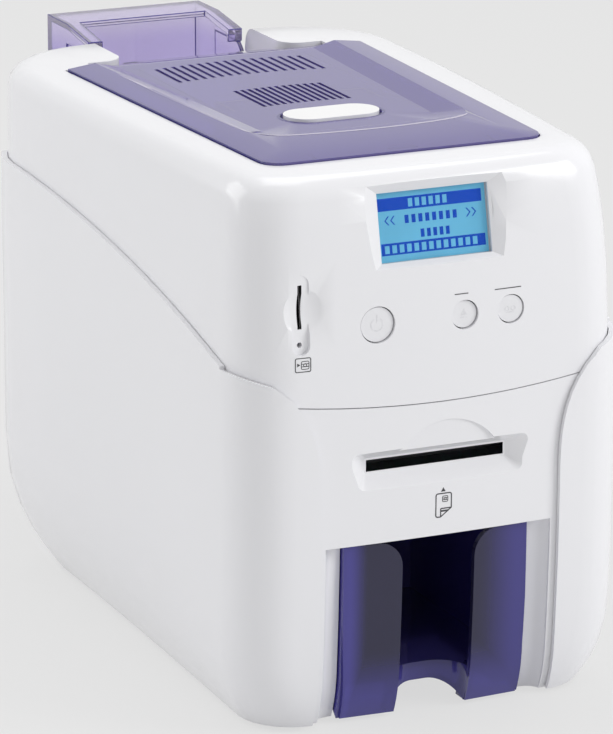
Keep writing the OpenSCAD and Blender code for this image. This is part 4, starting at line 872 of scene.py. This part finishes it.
class PRINTER_OT_front(bpy.types.Operator):
    """Makes the display, the buttons and the printed markings"""

    bl_idname = "printer.front"
    bl_label = "Display and markings"

    def execute(self, context):
        colours, sizes = context.scene.printer_colours, context.scene.printer_sizes
        ink = printed_ink("marking_ink", colours.ink)
        self.show_display(colours, sizes)
        grey = moulded("button_plastic", tinted(colours.cover, 0.97), 0.3)
        for name in ("power_button", "eject_button", "ribbon_button"):
            surfaced(name, grey, sizes.edge)
        self.mark_buttons(colours, sizes)
        self.mark_slots(ink, sizes)
        finish_nodes(["button_board", "lcd_module", "main_board"], circuit("circuit_board", colours.board))
        finish_nodes(["chip_reader", "power_inlet"],
                     moulded("reader_black", colours.dark, 0.4, grain=0.00003))
        return {"FINISHED"}

    def show_display(self, colours, sizes):
        """The display's picture, on a plane that leans back behind the window."""
        low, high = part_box("lcd_window")
        finish_nodes(["lcd_window"], plain_glass("window_clear", colours.window))
        set_back = 0.000935
        side_margin, top_margin = 0.001, 0.0016
        lean = sizes.display_lean
        width = high.x - low.x - side_margin
        height = (high.z - low.z) / math.cos(lean) - top_margin
        shape = bmesh.new()
        behind = (low + high) / 2 + Vector((0, set_back, 0))
        place = Matrix.Translation(behind) @ Matrix.Rotation(math.radians(90) - lean, 4, "X")
        bmesh.ops.create_grid(shape, x_segments=1, y_segments=1, size=0.5,
                              matrix=place @ Matrix.Diagonal((width, height, 1, 1)))
        picture = display_face("display_picture", (low, high), colours.display, colours.pixel)
        kept(shape, "display_face", "housing", picture)

    def mark_buttons(self, colours, sizes):
        grey = printed_ink("button_mark", colours.mark)
        for node, body, draw in (("power_button", "power_key", self.draw_power),
                                 ("eject_button", "eject_key", self.draw_eject),
                                 ("ribbon_button", "ribbon_key", self.draw_ribbon)):
            low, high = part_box(node)
            middle = Vector(((low.x + high.x) / 2, low.y, (low.z + high.z) / 2))
            shape = bmesh.new()
            draw(shape, middle, sizes.stroke)
            laid_on(shape, surface_of(node), sizes.ink_lift)
            kept(shape, node + "_mark", body, grey)

    def draw_power(self, shape, middle, stroke):
        ring(shape, middle, 0.0024, stroke, start=120, stop=420, segments=28)
        bar(shape, middle + Vector((0, 0, 0.0022)), stroke, 0.003)

    def draw_eject(self, shape, middle, stroke):
        triangle(shape, middle + Vector((0, 0, 0.0004)), 0.0016, 90)
        bar(shape, middle - Vector((0, 0, 0.0012)), 0.0028, stroke)

    def draw_ribbon(self, shape, middle, stroke):
        for side in (-1, 1):
            ring(shape, middle + Vector((side * 0.0013, 0, 0)), 0.0008, stroke * 0.8)
        bar(shape, middle - Vector((0, 0, 0.0014)), 0.003, stroke * 0.8)

    def mark_slots(self, ink, sizes):
        """The marks under the chip card slot and the card slot, and the strokes above two buttons."""
        shape = bmesh.new()
        stroke = sizes.stroke
        reader = Vector((-0.0559, 0, 0.1455))
        caption_height = 0.1656
        card_outline(shape, reader, 0.006, 0.0052, 0.0006, stroke * 0.7)
        triangle(shape, reader + Vector((-0.0019, 0, 0.0001)), 0.0008, 0)
        self.draw_chip(shape, reader + Vector((0.0008, 0, -0.0001)), 0.003, stroke * 0.5)
        for left, right in ((0.0054, 0.011), (0.0221, 0.0331)):
            bar(shape, Vector(((left + right) / 2, 0, caption_height)), right - left, stroke * 0.7, cuts=6)
        laid_on(shape, surface_of("upper_cover"), sizes.ink_lift)
        kept(shape, "upper_markings", "housing", ink)
        shape = bmesh.new()
        triangle(shape, Vector((0.0009, 0, 0.0906)), 0.0011, 90)
        self.draw_card(shape, stroke * 0.9)
        laid_on(shape, surface_of("front_panel"), sizes.ink_lift)
        kept(shape, "front_markings", "housing", ink)

    def draw_card(self, shape, stroke):
        """A card that goes into the slot above, with one corner folded over."""
        left, right = -0.0021, 0.0043
        foot, top = 0.0801, 0.0893
        fold_left, fold_top = -0.0001, 0.0834
        radius = 0.0008

        def at(x, z):
            return Vector((x, 0, z))

        corners = (at(right - radius, top - radius), at(left + radius, top - radius),
                   at(left + radius, foot + radius))
        for quarter, corner in enumerate(corners):
            ring(shape, corner, radius, stroke, 90 * quarter, 90 * quarter + 90, 6)
        for start, end in ((at(left + radius, top), at(right - radius, top)),
                           (at(left, top - radius), at(left, foot + radius)),
                           (at(right, top - radius), at(right, fold_top)),
                           (at(left + radius, foot), at(fold_left, foot)),
                           (at(fold_left, foot), at(right, fold_top)),
                           (at(fold_left, fold_top), at(right, fold_top)),
                           (at(fold_left, fold_top), at(fold_left, foot))):
            stroke_line(shape, start, end, stroke)
        shade = fold_top - 0.001
        stroke_line(shape, at(fold_left, shade), at(right - 0.0012, shade), stroke * 1.5)
        self.draw_chip(shape, at(0.0017, 0.0871), 0.0022, stroke * 0.6)

    def draw_chip(self, shape, place, size, stroke):
        card_outline(shape, place, size, size, size * 0.18, stroke)
        for step in (-1, 1):
            bar(shape, place + Vector((0, 0, step * size / 6)), size, stroke)
        ring(shape, place, size * 0.2, stroke, segments=12)


class PRINTER_OT_mechanism(bpy.types.Operator):
    """Finishes the frame, rollers, gears, motors, ribbon and print head"""

    bl_idname = "printer.mechanism"
    bl_label = "Mechanism"

    def execute(self, context):
        colours = context.scene.printer_colours
        finish_nodes(["left_frame", "right_frame", "head_bracket", "usb_socket", "ribbon_motor"],
                     sheet_steel("zinc_steel", colours.steel))
        finish_nodes(["tie_rods", "idler_pins", "lid_hinge_pins", "front_pinch_roller", "rear_pinch_roller"],
                     turned("ground_steel", colours.shaft))
        finish_nodes(["motor_pinion", "ribbon_pinion"], turned("cut_brass", colours.brass, 0.25))
        finish_nodes(["shaft_bushes"], sintered("sintered_bronze", colours.bronze))
        finish_nodes(["front_roller", "platen_roller", "rear_roller", "pick_roller"],
                     ground_rubber("roller_rubber", colours.rubber))
        finish_nodes(["cleaning_roller"], ground_rubber("tacky_rubber", colours.tacky, 0.3))
        gears = [name for name in NODES if name.endswith(("_gear", "_idler"))]
        finish_nodes(gears, moulded("gear_nylon", colours.nylon, 0.42, grain=0.00003))
        finish_nodes(["card_guide", "ribbon_cassette"],
                     moulded("guide_black", colours.dark, 0.45, grain=0.00004))
        finish_nodes(["feed_motor"], moulded("motor_enamel", colours.motor, 0.35, grain=0.00002))
        finish_nodes(["supply_spool", "takeup_spool"], dye_film("dye_ribbon", colours.wound))
        dyes = ((0.62, 0.5, 0.03), (0.42, 0.015, 0.14), (0.01, 0.16, 0.4), (0.015, 0.015, 0.018))
        finish_nodes(["ribbon_film"], dye_panels("dye_panels", dyes, panel=0.03))
        finish_nodes(["print_head"], sheet_steel("head_aluminium", colours.head))
        return {"FINISHED"}


class PRINTER_OT_rear(bpy.types.Operator):
    """Makes the contacts of the power inlet and the screws of the rear panel and the base"""

    bl_idname = "printer.rear"
    bl_label = "Rear and base"

    def execute(self, context):
        colours = context.scene.printer_colours
        self.fit_contacts(turned("contact_nickel", colours.contact))
        self.drive_screws(turned("screw_zinc", colours.screw, 0.26))
        return {"FINISHED"}

    def fit_contacts(self, nickel):
        """Three flat contacts, the middle one higher, inside the inlet."""
        low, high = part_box("power_inlet")
        middle = (low + high) / 2
        width, height = 0.0014, 0.004
        foot, sunk = 0.006, 0.003
        shape = bmesh.new()
        for side, lift in ((-0.0056, -0.0014), (0, 0.0016), (0.0056, -0.0014)):
            start = Vector((middle.x + side - width / 2, low.y + foot, middle.z + lift - height / 2))
            blade(shape, start, Vector((start.x + width, high.y - sunk, start.z + height)), 0.0002)
        kept(shape, "inlet_contacts", "housing", nickel)

    def drive_screws(self, zinc):
        """Four screws in the rear panel, square to its surface, and six in the base."""
        shape = bmesh.new()
        rear = surface_of("rear_panel")
        for x, z in ((-0.052, 0.022), (0.052, 0.022), (-0.055, 0.112), (0.055, 0.112)):
            start = Vector((x, cad_box[1][1] + RAY_START, z))
            hit, normal = rear.ray_cast(start, Vector((0, -1, 0)))[:2]
            square = normal.to_track_quat("Z", "Y").to_matrix().to_4x4()
            screw(shape, Matrix.Translation(hit) @ square, 0.0028)
        base = surface_of("base_tray")
        for x in (-0.048, 0.048):
            for y in (-0.1, 0.0, 0.085):
                hit = base.ray_cast(Vector((x, y, -RAY_START)), Vector((0, 0, 1)))[0]
                screw(shape, Matrix.Translation(hit) @ Matrix.Rotation(math.pi, 4, "X"), 0.0026)
        kept(shape, "cover_screws", "housing", zinc)


class PRINTER_PT_panel(bpy.types.Panel):
    """Lists the printer's operators and settings"""

    bl_idname = "PRINTER_PT_panel"
    bl_label = "Card Printer"
    bl_space_type = "VIEW_3D"
    bl_region_type = "UI"
    bl_category = "Card Printer"

    def draw(self, context):
        for operator in OPERATORS:
            self.layout.operator(operator.bl_idname)
        scene = context.scene
        for group in (scene.printer_colours, scene.printer_sizes, scene.printer_studio):
            box = self.layout.box()
            for name in group.bl_rna.properties.keys():
                if name not in ("rna_type", "name"):
                    box.prop(group, name)


OPERATORS = (PRINTER_OT_stage, PRINTER_OT_covers, PRINTER_OT_clear_parts, PRINTER_OT_front,
             PRINTER_OT_mechanism, PRINTER_OT_rear)
CLASSES = (PrinterColours, PrinterSizes, StudioSettings, *OPERATORS, PRINTER_PT_panel)


def register():
    for item in CLASSES:
        bpy.utils.register_class(item)
    bpy.types.Scene.printer_colours = PointerProperty(type=PrinterColours)
    bpy.types.Scene.printer_sizes = PointerProperty(type=PrinterSizes)
    bpy.types.Scene.printer_studio = PointerProperty(type=StudioSettings)


def unregister():
    del bpy.types.Scene.printer_studio
    del bpy.types.Scene.printer_sizes
    del bpy.types.Scene.printer_colours
    for item in reversed(CLASSES):
        bpy.utils.unregister_class(item)


def main():
    register()
    bpy.ops.printer.stage()
    bpy.ops.printer.covers()
    bpy.ops.printer.clear_parts()
    bpy.ops.printer.front()
    bpy.ops.printer.mechanism()
    bpy.ops.printer.rear()
    bpy.context.view_layer.update()


if __name__ == "__main__":
    main()
